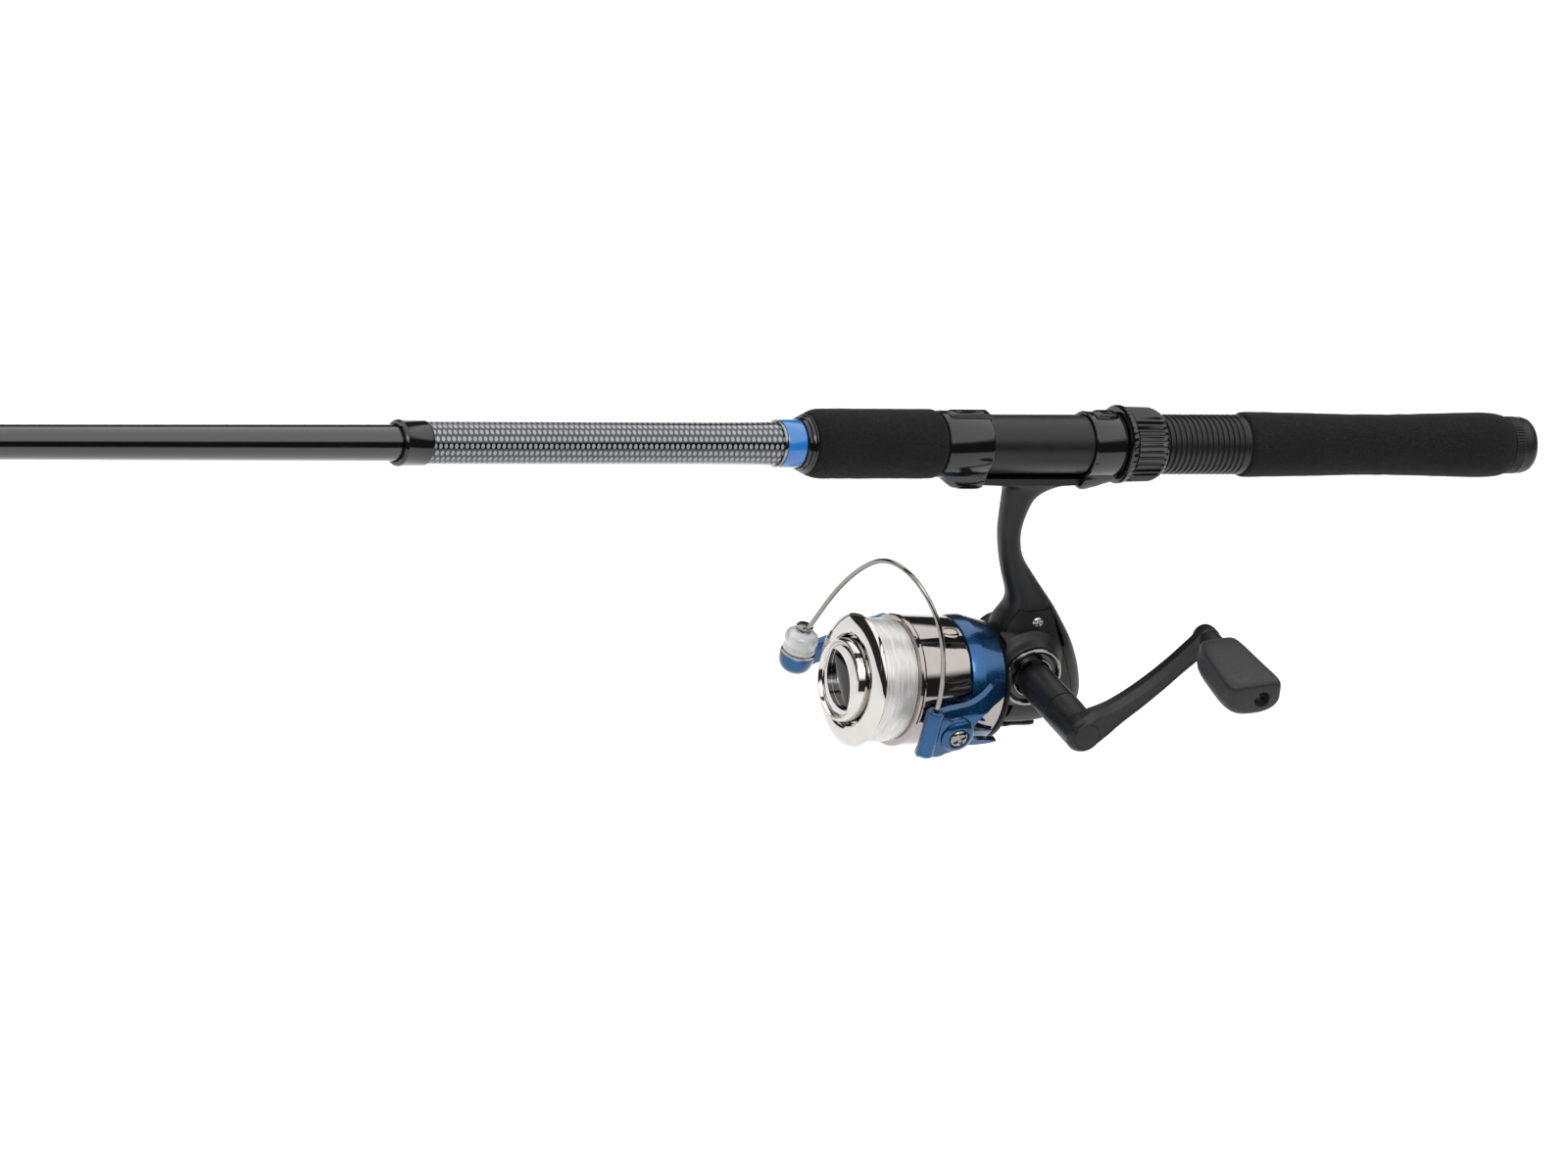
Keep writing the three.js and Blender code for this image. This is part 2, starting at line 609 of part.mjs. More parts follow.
// ---- spool and drag ----
function makeSpool() {
  add(
    "spool",
    turnedX(
      [
        [-52.2, 10.2], [-52.2, 18.6], [-51.4, 23.4], [-50.9, 24], [-49.9, 24], [-49.5, 23.4], [-49.5, 18.6],
        [-35.4, 18.6], [-35.4, 23], [-34.8, SKIRT_R], [-14.5, SKIRT_R], [-14.5, 22.5], [-33.6, 22.5],
        [-33.6, 3.4], [-36, 2.4], [-43.8, 2.4], [-43.8, 10.2], [-52.2, 10.2],
      ],
      ROUND,
      0,
      SPOOL_Z,
    ),
    chrome,
  );
  add("line_winding", turnedX(bored([[-49.2, 21.9], [-35.7, 22.1]], 18.9), ROUND, 0, SPOOL_Z), line);
  [-45.4, -47.2].forEach((x, index) => {
    add(`drag_washer_${index + 1}`, turnedX(bored([[x, 9.8], [x + 1.3, 9.8]], 2.3), 24, 0, SPOOL_Z), felt);
  });
  const knob = turnedX(
    [
      [-57.6, 0], [-57.6, 1.4], [-54.2, 2.2], [-54.2, 12.6], [-56, 13.6], [-55.6, 14.7], [-52.5, 15],
      [-52.5, 9.8], [-48, 9.8], [-48, 2.3], [-53.8, 2.3], [-53.8, 0],
    ],
    ROUND,
    0,
    SPOOL_Z,
  );
  const fin = block([-56.8, -54], [-11.5, 11.5], [SPOOL_Z - 1.2, SPOOL_Z + 1.2]);
  add("drag_knob", join(knob, fin), chrome);
}

// ---- crank ----
function makeCrank() {
  const [reachX, reachZ] = CRANK_REACH;
  const pin = [CRANK_X + reachX, CRANK_Z + reachZ];
  add("crank_shaft", rodY(-17, 14.9, 3.2, SLIM, CRANK_X, CRANK_Z), steel);
  add(
    "crank_sleeve",
    turnedY(
      full([[BOSS_END + 3.5, 6.35], [-36, 6.35], [-35.6, 6.1], [-18, 6.3], [-17.3, 5.6]]), 24, CRANK_X, CRANK_Z,
    ),
    satinBlack,
  );
  const arm = plateY(capsule([CRANK_X, CRANK_Z], pin, 6.4, 4.8), BOSS_END - 4, BOSS_END + 3.2, 0.8);
  add("crank_arm", join(arm, rodY(BOSS_END, KNOB_FRONT + 0.5, 5, SLIM, ...pin)), satinBlack);
  const knobPin = turnedY(
    full([[KNOB_BACK + 4, 3], [KNOB_BACK + 5.5, 3], [KNOB_BACK + 5.6, 1.9], [KNOB_FRONT + 0.2, 1.9]]), 12, ...pin,
  );
  add("knob_pin", knobPin, steel);
  const paddle = plateY(
    new THREE.Shape()
      .absarc(-3.4, 0, 7, Math.PI / 2, (3 * Math.PI) / 2)
      .absarc(3.4, 0, 7, -Math.PI / 2, Math.PI / 2),
    KNOB_BACK,
    KNOB_FRONT - 0.6,
    2.4,
  );
  const turn = THREE.MathUtils.radToDeg(Math.atan2(reachZ, reachX));
  const bore = rodY(KNOB_BACK - 5, KNOB_BACK + 6, 3.4, SLIM, 0, 0);
  const through = rodY(KNOB_BACK, KNOB_FRONT + 5, 2.2, SLIM, 0, 0);
  const knob = cut(paddle, bore, through).rotate([0, -turn, 0]).translate([pin[0], 0, pin[1]]);
  add("crank_knob", knob, satinBlack);
}

makeBlank();
makeGrips();
makeSeat();
makeSlidingHood();
makeLockNut();
makeSections();
SECTIONS.forEach((size, index) => makeGuide(index));
makeBody();
makeCover();
makeGearbox();
makeRotor();
makeBail();
makeSpool();
makeCrank();

export default group;
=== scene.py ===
"""Telescopic fishing rod with a front-drag spinning reel, built round its packed CAD frame.

Makers below work in millimetres in the frame's own axes: +X runs to the butt, +Z is up and
the crank is on the -Y side. A finished mesh is turned to metres.
"""

import json
import math

import bmesh
import bpy
from bpy.props import FloatProperty, FloatVectorProperty, IntProperty, PointerProperty
from mathutils import Matrix, Vector, noise

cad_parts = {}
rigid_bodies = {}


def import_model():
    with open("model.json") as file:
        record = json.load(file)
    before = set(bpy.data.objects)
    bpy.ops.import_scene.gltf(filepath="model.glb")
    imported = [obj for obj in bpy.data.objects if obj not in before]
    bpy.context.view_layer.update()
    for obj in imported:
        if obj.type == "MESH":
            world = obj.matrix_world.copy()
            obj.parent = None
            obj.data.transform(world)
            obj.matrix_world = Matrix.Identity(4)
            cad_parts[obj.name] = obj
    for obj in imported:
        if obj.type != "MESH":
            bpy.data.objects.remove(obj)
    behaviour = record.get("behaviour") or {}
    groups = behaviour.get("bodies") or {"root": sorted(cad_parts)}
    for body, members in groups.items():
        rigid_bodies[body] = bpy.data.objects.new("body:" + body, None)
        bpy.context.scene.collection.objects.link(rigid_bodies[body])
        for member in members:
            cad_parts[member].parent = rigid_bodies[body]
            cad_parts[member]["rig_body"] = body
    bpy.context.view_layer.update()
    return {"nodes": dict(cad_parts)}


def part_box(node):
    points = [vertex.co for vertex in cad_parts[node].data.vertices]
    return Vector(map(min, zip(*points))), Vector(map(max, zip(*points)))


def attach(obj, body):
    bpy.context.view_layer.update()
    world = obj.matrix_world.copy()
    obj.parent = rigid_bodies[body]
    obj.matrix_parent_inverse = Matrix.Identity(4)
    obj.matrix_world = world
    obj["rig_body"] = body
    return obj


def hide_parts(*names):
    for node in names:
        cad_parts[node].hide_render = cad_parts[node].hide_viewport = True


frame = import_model()

bl_info = {
    "name": "Rod and spinning reel",
    "version": (1, 0, 0),
    "blender": (4, 5, 0),
    "location": "3D View > Sidebar > Rod and reel",
    "description": "Builds the finished pieces of a telescopic rod and its spinning reel",
    "category": "Add Mesh",
}

MM = 0.001
AXES = {"X": Vector((1, 0, 0)), "Y": Vector((0, 1, 0)), "Z": Vector((0, 0, 1))}
SIDEWAYS = {"X": Vector((0, 0, 1)), "Y": Vector((0, 0, 1)), "Z": Vector((1, 0, 0))}


def cad(node):
    """Lowest corner, highest corner and middle of a CAD node, in millimetres."""
    low, high = (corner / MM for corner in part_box(node))
    return low, high, (low + high) / 2


SPOOL_AXIS = Vector((0, *cad("main_shaft")[2][1:]))
CRANK = Vector((cad("crank_sleeve")[2].x, 0, cad("crank_sleeve")[2].z))
KNOB = Vector((cad("knob_pin")[2].x, 0, cad("knob_pin")[2].z))
NEAR_PIVOT = cad("near_pivot_screw")[2]
FAR_PIVOT = cad("far_pivot_screw")[2]
TILT = math.atan2(FAR_PIVOT.z - NEAR_PIVOT.z, FAR_PIVOT.y - NEAR_PIVOT.y)
ROLLER = cad("line_roller")[2]


def linear(code):
    """A linear colour from an sRGB hex code."""
    channels = [int(code[i : i + 2], 16) / 255 for i in (1, 3, 5)]
    return tuple(c / 12.92 if c <= 0.04045 else ((c + 0.055) / 1.055) ** 2.4 for c in channels)


# ---- sizes and colours that a user would change ----
class RodSizes(bpy.types.PropertyGroup):
    """Sizes of the rod"""

    dot_spacing: FloatProperty(
        name="Dot spacing", description="Distance between printed dots along the blank",
        default=2.15 * MM, unit="LENGTH", precision=4,
    )
    dot_rows: IntProperty(
        name="Dot rows", description="Rows of printed dots round the blank", default=18, min=4,
    )
    thread_pitch: FloatProperty(
        name="Thread pitch", description="Pitch of the reel seat's thread",
        default=2.2 * MM, unit="LENGTH", precision=4,
    )
    nut_ribs: IntProperty(
        name="Nut ribs", description="Grip ribs round the locking nut", default=38, min=6,
    )


class ReelSizes(bpy.types.PropertyGroup):
    """Sizes of the reel"""

    wire_radius: FloatProperty(
        name="Bail wire radius", description="Radius of the bail wire",
        default=0.9 * MM, unit="LENGTH", precision=4,
    )
    lip_radius: FloatProperty(
        name="Spool lip radius", description="Outer radius of the spool's front lip",
        default=24 * MM, unit="LENGTH", precision=4,
    )
    sleeve_radius: FloatProperty(
        name="Crank sleeve radius", description="Radius of the sleeve on the crank shaft",
        default=6.8 * MM, unit="LENGTH", precision=4,
    )


def paint(label, code, text):
    return FloatVectorProperty(
        name=label, description=text, subtype="COLOR", default=linear(code), min=0, max=1, size=3
    )


class RodColours(bpy.types.PropertyGroup):
    """Colours of the rod and the reel"""

    lacquer: paint("Lacquer", "#08080a", "Black lacquer of the blanks")
    dots: paint("Printed dots", "#8f9199", "Silver grey dots printed under the lacquer")
    band: paint("Accent band", "#1d6cb4", "Blue gloss paint of the accent band")
    foam: paint("Foam", "#151516", "Closed-cell foam of the grips")
    moulding: paint("Mouldings", "#0d0d0f", "Black plastic of the reel body, crank and seat")
    blue: paint("Rotor", "#17507f", "Metallic blue paint of the rotor and bail arms")
    chrome: paint("Chrome", "#cfccc8", "Bright chrome plating")
    smoked: paint("Smoked chrome", "#a39c99", "Dark chrome plating of the spool's skirt")
    winding: paint("Wound line", "#dedcd8", "Monofilament wound on the spool")


# ---- shaping ----
def smooth(points, per=6, closed=False):
    """Points of a Catmull-Rom curve that passes through the given ones."""
    count = len(points)

    def at(i):
        return Vector(points[i % count] if closed else points[min(max(i, 0), count - 1)])

    curve = []
    for i in range(count if closed else count - 1):
        a, b, c, d = (at(i + k) for k in (-1, 0, 1, 2))
        for step in range(per):
            t = step / per
            curve.append(
                0.5 * (2 * b + (c - a) * t + (2 * a - 5 * b + 4 * c - d) * t * t
                       + (3 * b - a - 3 * c + d) * t**3)
            )
    return curve if closed else curve + [at(count - 1)]


def turned(bm, profile, axis="X", centre=(0, 0, 0), steps=96, ring=False):
    """Spins (distance along the axis, radius) points; ring joins the profile's ends."""
    along, out, middle = AXES[axis], SIDEWAYS[axis], Vector(centre)
    verts = [bm.verts.new(middle + along * a + out * r) for a, r in profile]
    ends = verts[1:] + verts[:1] if ring else verts[1:]
    edges = [bm.edges.new(pair) for pair in zip(verts, ends)]
    bmesh.ops.spin(
        bm, geom=verts + edges, cent=middle, axis=along, dvec=(0, 0, 0),
        angle=2 * math.pi, steps=steps, use_merge=True,
    )
    bmesh.ops.remove_doubles(bm, verts=bm.verts, dist=0.0005)
    bmesh.ops.recalc_face_normals(bm, faces=bm.faces)
    return bm


def plate(bm, outline, axis, low, high):
    """Extrudes an outline along an axis; its points are the other two coordinates."""
    at = {"X": lambda p: (low, *p), "Y": lambda p: (p[0], low, p[1]), "Z": lambda p: (*p, low)}
    face = bm.faces.new([bm.verts.new(at[axis](p)) for p in outline])
    made = bmesh.ops.extrude_face_region(bm, geom=[face])["geom"]
    moved = [v for v in made if isinstance(v, bmesh.types.BMVert)]
    bmesh.ops.translate(bm, vec=AXES[axis] * (high - low), verts=moved)
    bmesh.ops.recalc_face_normals(bm, faces=bm.faces)
    return bm


def loft(bm, rings, closed=False):
    """Skins rings of points in order; closed joins the last ring to the first."""
    verts = [bm.verts.new(p) for p in rings[0]]
    edges = [bm.edges.new(pair) for pair in zip(verts, verts[1:] + verts[:1])]
    first = verts
    for ring in rings[1:] + (rings[:1] if closed else []):
        made = bmesh.ops.extrude_edge_only(bm, edges=edges)["geom"]
        place = {v: i for i, v in enumerate(verts)}
        fresh = {}
        for v in made:
            if isinstance(v, bmesh.types.BMVert):
                for e in v.link_edges:
                    if e.other_vert(v) in place:
                        fresh[place[e.other_vert(v)]] = v
        verts = [fresh[i] for i in range(len(ring))]
        for v, p in zip(verts, ring):
            v.co = p
        new = set(verts)
        edges = [e for e in made if isinstance(e, bmesh.types.BMEdge) and set(e.verts) <= new]
    if not closed:
        bm.faces.new(first)
        bm.faces.new(verts)
    bmesh.ops.remove_doubles(bm, verts=bm.verts, dist=0.0005)
    bmesh.ops.recalc_face_normals(bm, faces=bm.faces)
    return bm


def oval(centre, wide, high, across, up, count=48, power=2.0):
    """A ring of points: an ellipse at power 2, squarer above it."""
    ring = []
    for i in range(count):
        c, s = math.cos(2 * math.pi * i / count), math.sin(2 * math.pi * i / count)
        a = math.copysign(abs(c) ** (2 / power), c) * wide
        b = math.copysign(abs(s) ** (2 / power), s) * high
        ring.append(Vector(centre) + Vector(across) * a + Vector(up) * b)
    return ring


def swept(bm, path, radius, sides=14):
    """A round wire along a path; radius is one number or one for each point."""
    path = [Vector(p) for p in path]
    sizes = radius if isinstance(radius, list) else [radius] * len(path)
    rings, across = [], None
    for i, point in enumerate(path):
        along = (path[min(i + 1, len(path) - 1)] - path[max(i - 1, 0)]).normalized()
        guess = along.orthogonal() if across is None else across
        across = (guess - along * guess.dot(along)).normalized()
        rings.append(oval(point, sizes[i], sizes[i], across, along.cross(across), sides))
    return loft(bm, rings)


def carved(base, tool, operation="DIFFERENCE"):
    """Joins, cuts or intersects two closed meshes and returns one; both are used up."""
    pair = []
    for bm in (base, tool):
        mesh = bpy.data.meshes.new("blank")
        bm.to_mesh(mesh)
        bm.free()
        pair.append(bpy.data.objects.new("blank", mesh))
        bpy.context.scene.collection.objects.link(pair[-1])
    cutter = pair[0].modifiers.new("cut", "BOOLEAN")
    cutter.operation, cutter.object, cutter.solver = operation, pair[1], "EXACT"
    bpy.context.view_layer.update()
    mesh = bpy.data.meshes.new_from_object(
        pair[0].evaluated_get(bpy.context.evaluated_depsgraph_get())
    )
    made = bmesh.new()
    made.from_mesh(mesh)
    for block in (*pair, mesh):
        owner = bpy.data.objects if isinstance(block, bpy.types.Object) else bpy.data.meshes
        owner.remove(block)
    bmesh.ops.remove_doubles(made, verts=made.verts, dist=0.002)
    bmesh.ops.dissolve_degenerate(made, edges=made.edges, dist=0.002)
    return made


def soften(bm, width, segments=2, limit=32):
    """Rounds every edge that is sharper than the limit, in degrees."""
    sharp = [
        e for e in bm.edges
        if len(e.link_faces) == 2 and e.calc_face_angle(0) > math.radians(limit)
    ]
    bmesh.ops.bevel(
        bm, geom=sharp, offset=width, offset_type="OFFSET", affect="EDGES",
        segments=segments, profile=0.5, material=-1, clamp_overlap=True,
    )
    return bm


def turn(bm, degrees, axis, centre):
    """Turns a mesh about an axis through a point."""
    bmesh.ops.rotate(
        bm, cent=centre, matrix=Matrix.Rotation(math.radians(degrees), 3, axis), verts=bm.verts
    )
    return bm


def tilt(bm):
    """Turns a shape drawn with level rotor arms to the arms' real lean."""
    return turn(bm, math.degrees(TILT), "X", SPOOL_AXIS)


def added(bm, *others):
    """Puts the shells of other meshes into the first one."""
    for other in others:
        mesh = bpy.data.meshes.new("shell")
        other.to_mesh(mesh)
        other.free()
        bm.from_mesh(mesh)
        bpy.data.meshes.remove(mesh)
    return bm


def place(name, bm, finish, slot, nodes=(), body=None, crease=32, bevel=0.0):
    """Makes a finished piece from a mesh in millimetres and sets it on its CAD body."""
    bmesh.ops.scale(bm, vec=(MM,) * 3, verts=bm.verts)
    mesh = bpy.data.meshes.new(name)
    bm.to_mesh(mesh)
    bm.free()
    mesh.shade_smooth()
    mesh.set_sharp_from_angle(angle=math.radians(crease))
    made = bpy.data.objects.new(name, mesh)
    bpy.context.scene.collection.objects.link(made)
    mesh.materials.append(finish)
    if bevel:
        edge = made.modifiers.new("edges", "BEVEL")
        edge.width, edge.segments, edge.limit_method = bevel * MM, 2, "ANGLE"
        edge.angle_limit, edge.harden_normals = math.radians(crease), True
    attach(made, body or frame["nodes"][nodes[0]]["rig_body"])
    if nodes:
        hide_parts(*nodes)
    return made


# ---- finishes ----
def set_values(tree, node, values):
    """Sets a node's properties and sockets; a value that is a node or a socket is linked."""
    for key, value in values.items():
        if isinstance(key, str) and key not in node.inputs:
            setattr(node, key, value)
        elif isinstance(value, bpy.types.Node):
            source = next(out for out in value.outputs if out.enabled)
            tree.links.new(source, node.inputs[key])
        elif isinstance(value, bpy.types.NodeSocket):
            tree.links.new(value, node.inputs[key])
        else:
            node.inputs[key].default_value = value
    return node


def add_node(tree, kind, values=None):
    """Adds one node with its settings and links."""
    return set_values(tree, tree.nodes.new(kind), values or {})


FINISHES = {}


def new_finish(name):
    """An empty principled material, with its tree, shader and object coordinates."""
    made = bpy.data.materials.new(name)
    made.use_nodes = True
    tree = made.node_tree
    where = add_node(tree, "ShaderNodeTexCoord").outputs["Object"]
    return made, tree, tree.nodes["Principled BSDF"], where


def across(size_mm):
    """The scale at which a pattern's grains are about this wide."""
    return 0.7 / (size_mm * MM)


def shade(colour, factor):
    """A colour made lighter or darker."""
    return (*(min(1.0, c * factor) for c in colour[:3]), 1)


def lacquered(name, colour, dots=None, spacing=0.0, rows=0):
    """Sprayed lacquer over black: sharp reflections with a trace of orange peel."""
    made, tree, shader, where = new_finish(name)
    cloud = add_node(tree, "ShaderNodeTexNoise", {"Vector": where, "Scale": across(9)})
    base = add_node(tree, "ShaderNodeMix", {
        "data_type": "RGBA", 0: cloud, 6: shade(colour, 0.7), 7: shade(colour, 1.5)})
    rough = add_node(tree, "ShaderNodeMapRange", {0: cloud, 3: 0.12, 4: 0.17})
    if dots is not None:
        known = add_node(tree, "ShaderNodeSeparateXYZ", {0: where}).outputs
        known = {axis: known[axis] for axis in "XYZ"}
        # rows run along the rod, every other one shifted by half a spacing
        for key, operation, first, second in (
            ("angle", "ARCTAN2", "Y", "Z"),
            ("turns", "MULTIPLY", "angle", rows / (2 * math.pi)),
            ("row", "ADD", "turns", rows),
            ("whole", "FLOOR", "row", 0),
            ("odd", "MODULO", "whole", 2),
            ("shift", "MULTIPLY", "odd", 0.5),
            ("steps", "DIVIDE", "X", spacing),
            ("shifted", "ADD", "steps", "shift"),
            ("u", "FRACT", "shifted", 0),
            ("v", "FRACT", "row", 0),
            ("u_off", "SUBTRACT", "u", 0.5),
            ("v_off", "SUBTRACT", "v", 0.5),
            ("u_wide", "MULTIPLY", "u_off", 2.75),
            ("v_wide", "MULTIPLY", "v_off", 2.55),
            ("u_square", "MULTIPLY", "u_wide", "u_wide"),
            ("v_square", "MULTIPLY", "v_wide", "v_wide"),
            ("square", "ADD", "u_square", "v_square"),
        ):
            known[key] = add_node(tree, "ShaderNodeMath", {
                "operation": operation, 0: known[first], 1: known.get(second, second)})
        inside = add_node(tree, "ShaderNodeMapRange", {
            "interpolation_type": "SMOOTHSTEP", 0: known["square"], 1: 0.65, 2: 0.95,
            3: 1.0, 4: 0.0})
        speck = add_node(tree, "ShaderNodeTexNoise", {"Vector": where, "Scale": across(0.5)})
        silver = add_node(tree, "ShaderNodeMix", {
            "data_type": "RGBA", 0: speck, 6: shade(dots, 0.72), 7: shade(dots, 1.25)})
        base = add_node(tree, "ShaderNodeMix", {"data_type": "RGBA", 0: inside, 6: base, 7: silver})
        rough = add_node(tree, "ShaderNodeMapRange", {0: inside, 3: 0.14, 4: 0.3})
    peel = add_node(tree, "ShaderNodeTexNoise", {"Vector": where, "Scale": across(2.5)})
    set_values(tree, shader, {
        "Base Color": base, "Roughness": rough, "Coat Weight": 0.8, "Coat Roughness": 0.035,
        "Normal": add_node(tree, "ShaderNodeBump", {
            "Height": peel, "Strength": 0.35, "Distance": 0.02 * MM})})
    return made


def enamelled(name, colour):
    """Opaque enamel under clear: an even blue with soft clouding and a sharp skin."""
    made, tree, shader, where = new_finish(name)
    cloud = add_node(tree, "ShaderNodeTexNoise", {"Vector": where, "Scale": across(4)})
    set_values(tree, shader, {
        "Base Color": add_node(tree, "ShaderNodeMix", {
            "data_type": "RGBA", 0: cloud, 6: shade(colour, 0.85), 7: shade(colour, 1.15)}),
        "Roughness": add_node(tree, "ShaderNodeMapRange", {0: cloud, 3: 0.2, 4: 0.28}),
        "Coat Weight": 0.8, "Coat Roughness": 0.04,
        "Normal": add_node(tree, "ShaderNodeBump", {
            "Height": cloud, "Strength": 0.3, "Distance": 0.03 * MM})})
    return made


def ground_foam(name, colour):
    """Ground closed-cell EVA: matt, with cut cells that catch the light as fine pepper."""
    made, tree, shader, where = new_finish(name)
    # cells are about 0.2 mm; they are drawn at 0.6 mm, as fine as shows
    cells = add_node(tree, "ShaderNodeTexVoronoi", {"Vector": where, "Scale": 1 / (0.6 * MM)})
    pepper = add_node(tree, "ShaderNodeTexNoise", {
        "Vector": where, "Scale": across(0.45), "Detail": 3.0})
    cloud = add_node(tree, "ShaderNodeTexNoise", {
        "Vector": where, "Scale": across(11), "Detail": 3.0})
    grains = add_node(tree, "ShaderNodeMapRange", {0: pepper, 1: 0.3, 2: 0.7})
    light = add_node(tree, "ShaderNodeMix", {
        "data_type": "RGBA", 0: grains, 6: shade(colour, 0.5), 7: shade(colour, 1.8)})
    patches = add_node(tree, "ShaderNodeMapRange", {0: cloud, 1: 0.35, 2: 0.65, 4: 0.5})
    relief = add_node(tree, "ShaderNodeMath", {"operation": "ADD", 0: cells, 1: pepper})
    set_values(tree, shader, {
        "Base Color": add_node(tree, "ShaderNodeMix", {
            "data_type": "RGBA", 0: patches, 6: light, 7: shade(colour, 0.75)}),
        "Roughness": add_node(tree, "ShaderNodeMapRange", {0: cells, 2: 0.6, 3: 0.82, 4: 0.98}),
        "Specular IOR Level": 0.15, "Sheen Weight": 0.06, "Sheen Roughness": 0.5,
        "Normal": add_node(tree, "ShaderNodeBump", {
            "Height": relief, "Strength": 0.75, "Distance": 0.14 * MM})})
    return made


def moulded(name, colour, rough, texture_mm, depth_mm, specular=0.4, sheen=0.0):
    """Injection-moulded plastic: a fine spark-eroded skin breaks up its highlights."""
    made, tree, shader, where = new_finish(name)
    skin = add_node(tree, "ShaderNodeTexNoise", {
        "Vector": where, "Scale": across(texture_mm), "Detail": 3.0})
    cloud = add_node(tree, "ShaderNodeTexNoise", {"Vector": where, "Scale": across(14)})
    set_values(tree, shader, {
        "Base Color": add_node(tree, "ShaderNodeMix", {
            "data_type": "RGBA", 0: cloud, 6: shade(colour, 0.7), 7: shade(colour, 1.3)}),
        "Roughness": add_node(tree, "ShaderNodeMapRange", {
            0: skin, 1: 0.3, 2: 0.7, 3: rough * 0.82, 4: rough * 1.2}),
        "Specular IOR Level": specular, "Sheen Weight": sheen,
        "Normal": add_node(tree, "ShaderNodeBump", {
            "Height": skin, "Strength": 0.5, "Distance": depth_mm * MM})})
    return made


def plated(name, colour, rough=0.05):
    """Vacuum chrome on plastic: a mirror with the faint waviness of the moulding under it."""
    made, tree, shader, where = new_finish(name)
    haze = add_node(tree, "ShaderNodeTexNoise", {
        "Vector": where, "Scale": across(6), "Detail": 3.0})
    set_values(tree, shader, {
        "Metallic": 1.0,
        "Base Color": add_node(tree, "ShaderNodeMix", {
            "data_type": "RGBA", 0: haze, 6: shade(colour, 0.88), 7: shade(colour, 1.08)}),
        "Roughness": add_node(tree, "ShaderNodeMapRange", {
            0: haze, 1: 0.3, 2: 0.7, 3: rough * 0.7, 4: rough * 1.5}),
        "Normal": add_node(tree, "ShaderNodeBump", {
            "Height": haze, "Strength": 0.2, "Distance": 0.05 * MM})})
    return made


def flake_paint_with_painted_shade(name, colour):
    """Metal-flake paint under clear: bright where it faces you and navy where it turns away."""
    made, tree, shader, where = new_finish(name)
    # flakes are about 0.05 mm; they are drawn at 0.35 mm, as fine as shows
    flake = add_node(tree, "ShaderNodeTexNoise", {
        "Vector": where, "Scale": across(0.35), "Detail": 1.0})
    # partly the paint's flop, partly painted shade: faces turned from the camera are mixed to a navy at 0.3
    # of the colour
    facing = add_node(tree, "ShaderNodeLayerWeight", {"Blend": 0.4}).outputs["Facing"]
    bright = add_node(tree, "ShaderNodeMix", {
        "data_type": "RGBA", 0: flake, 6: shade(colour, 0.7), 7: shade(colour, 1.4)})
    set_values(tree, shader, {
        "Metallic": 0.85,
        "Base Color": add_node(tree, "ShaderNodeMix", {
            "data_type": "RGBA", 0: facing, 6: bright, 7: shade(colour, 0.3)}),
        "Roughness": add_node(tree, "ShaderNodeMapRange", {
            0: flake, 1: 0.3, 2: 0.7, 3: 0.2, 4: 0.34}),
        "Coat Weight": 0.6, "Coat Roughness": 0.04,
        "Normal": add_node(tree, "ShaderNodeBump", {
            "Height": flake, "Strength": 0.3, "Distance": 0.01 * MM})})
    return made


def polished(name, code, rough):
    """Drawn wire or turned steel, polished: bright, with a haze of fine scratches."""
    colour = linear(code)
    made, tree, shader, where = new_finish(name)
    haze = add_node(tree, "ShaderNodeTexNoise", {
        "Vector": where, "Scale": across(1.2), "Detail": 3.0})
    set_values(tree, shader, {
        "Metallic": 1.0,
        "Base Color": add_node(tree, "ShaderNodeMix", {
            "data_type": "RGBA", 0: haze, 6: shade(colour, 0.75), 7: shade(colour, 1.15)}),
        "Roughness": add_node(tree, "ShaderNodeMapRange", {
            0: haze, 1: 0.3, 2: 0.7, 3: rough * 0.7, 4: rough * 1.5})})
    return made


def cast(name, code, rough):
    """Metal left as cast or cut: dull, with a sandy skin."""
    colour = linear(code)
    made, tree, shader, where = new_finish(name)
    sand = add_node(tree, "ShaderNodeTexNoise", {
        "Vector": where, "Scale": across(0.5), "Detail": 3.0})
    set_values(tree, shader, {
        "Metallic": 0.9, "Roughness": rough,
        "Base Color": add_node(tree, "ShaderNodeMix", {
            "data_type": "RGBA", 0: sand, 6: shade(colour, 0.7), 7: shade(colour, 1.2)}),
        "Normal": add_node(tree, "ShaderNodeBump", {
            "Height": sand, "Strength": 0.5, "Distance": 0.03 * MM})})
    return made


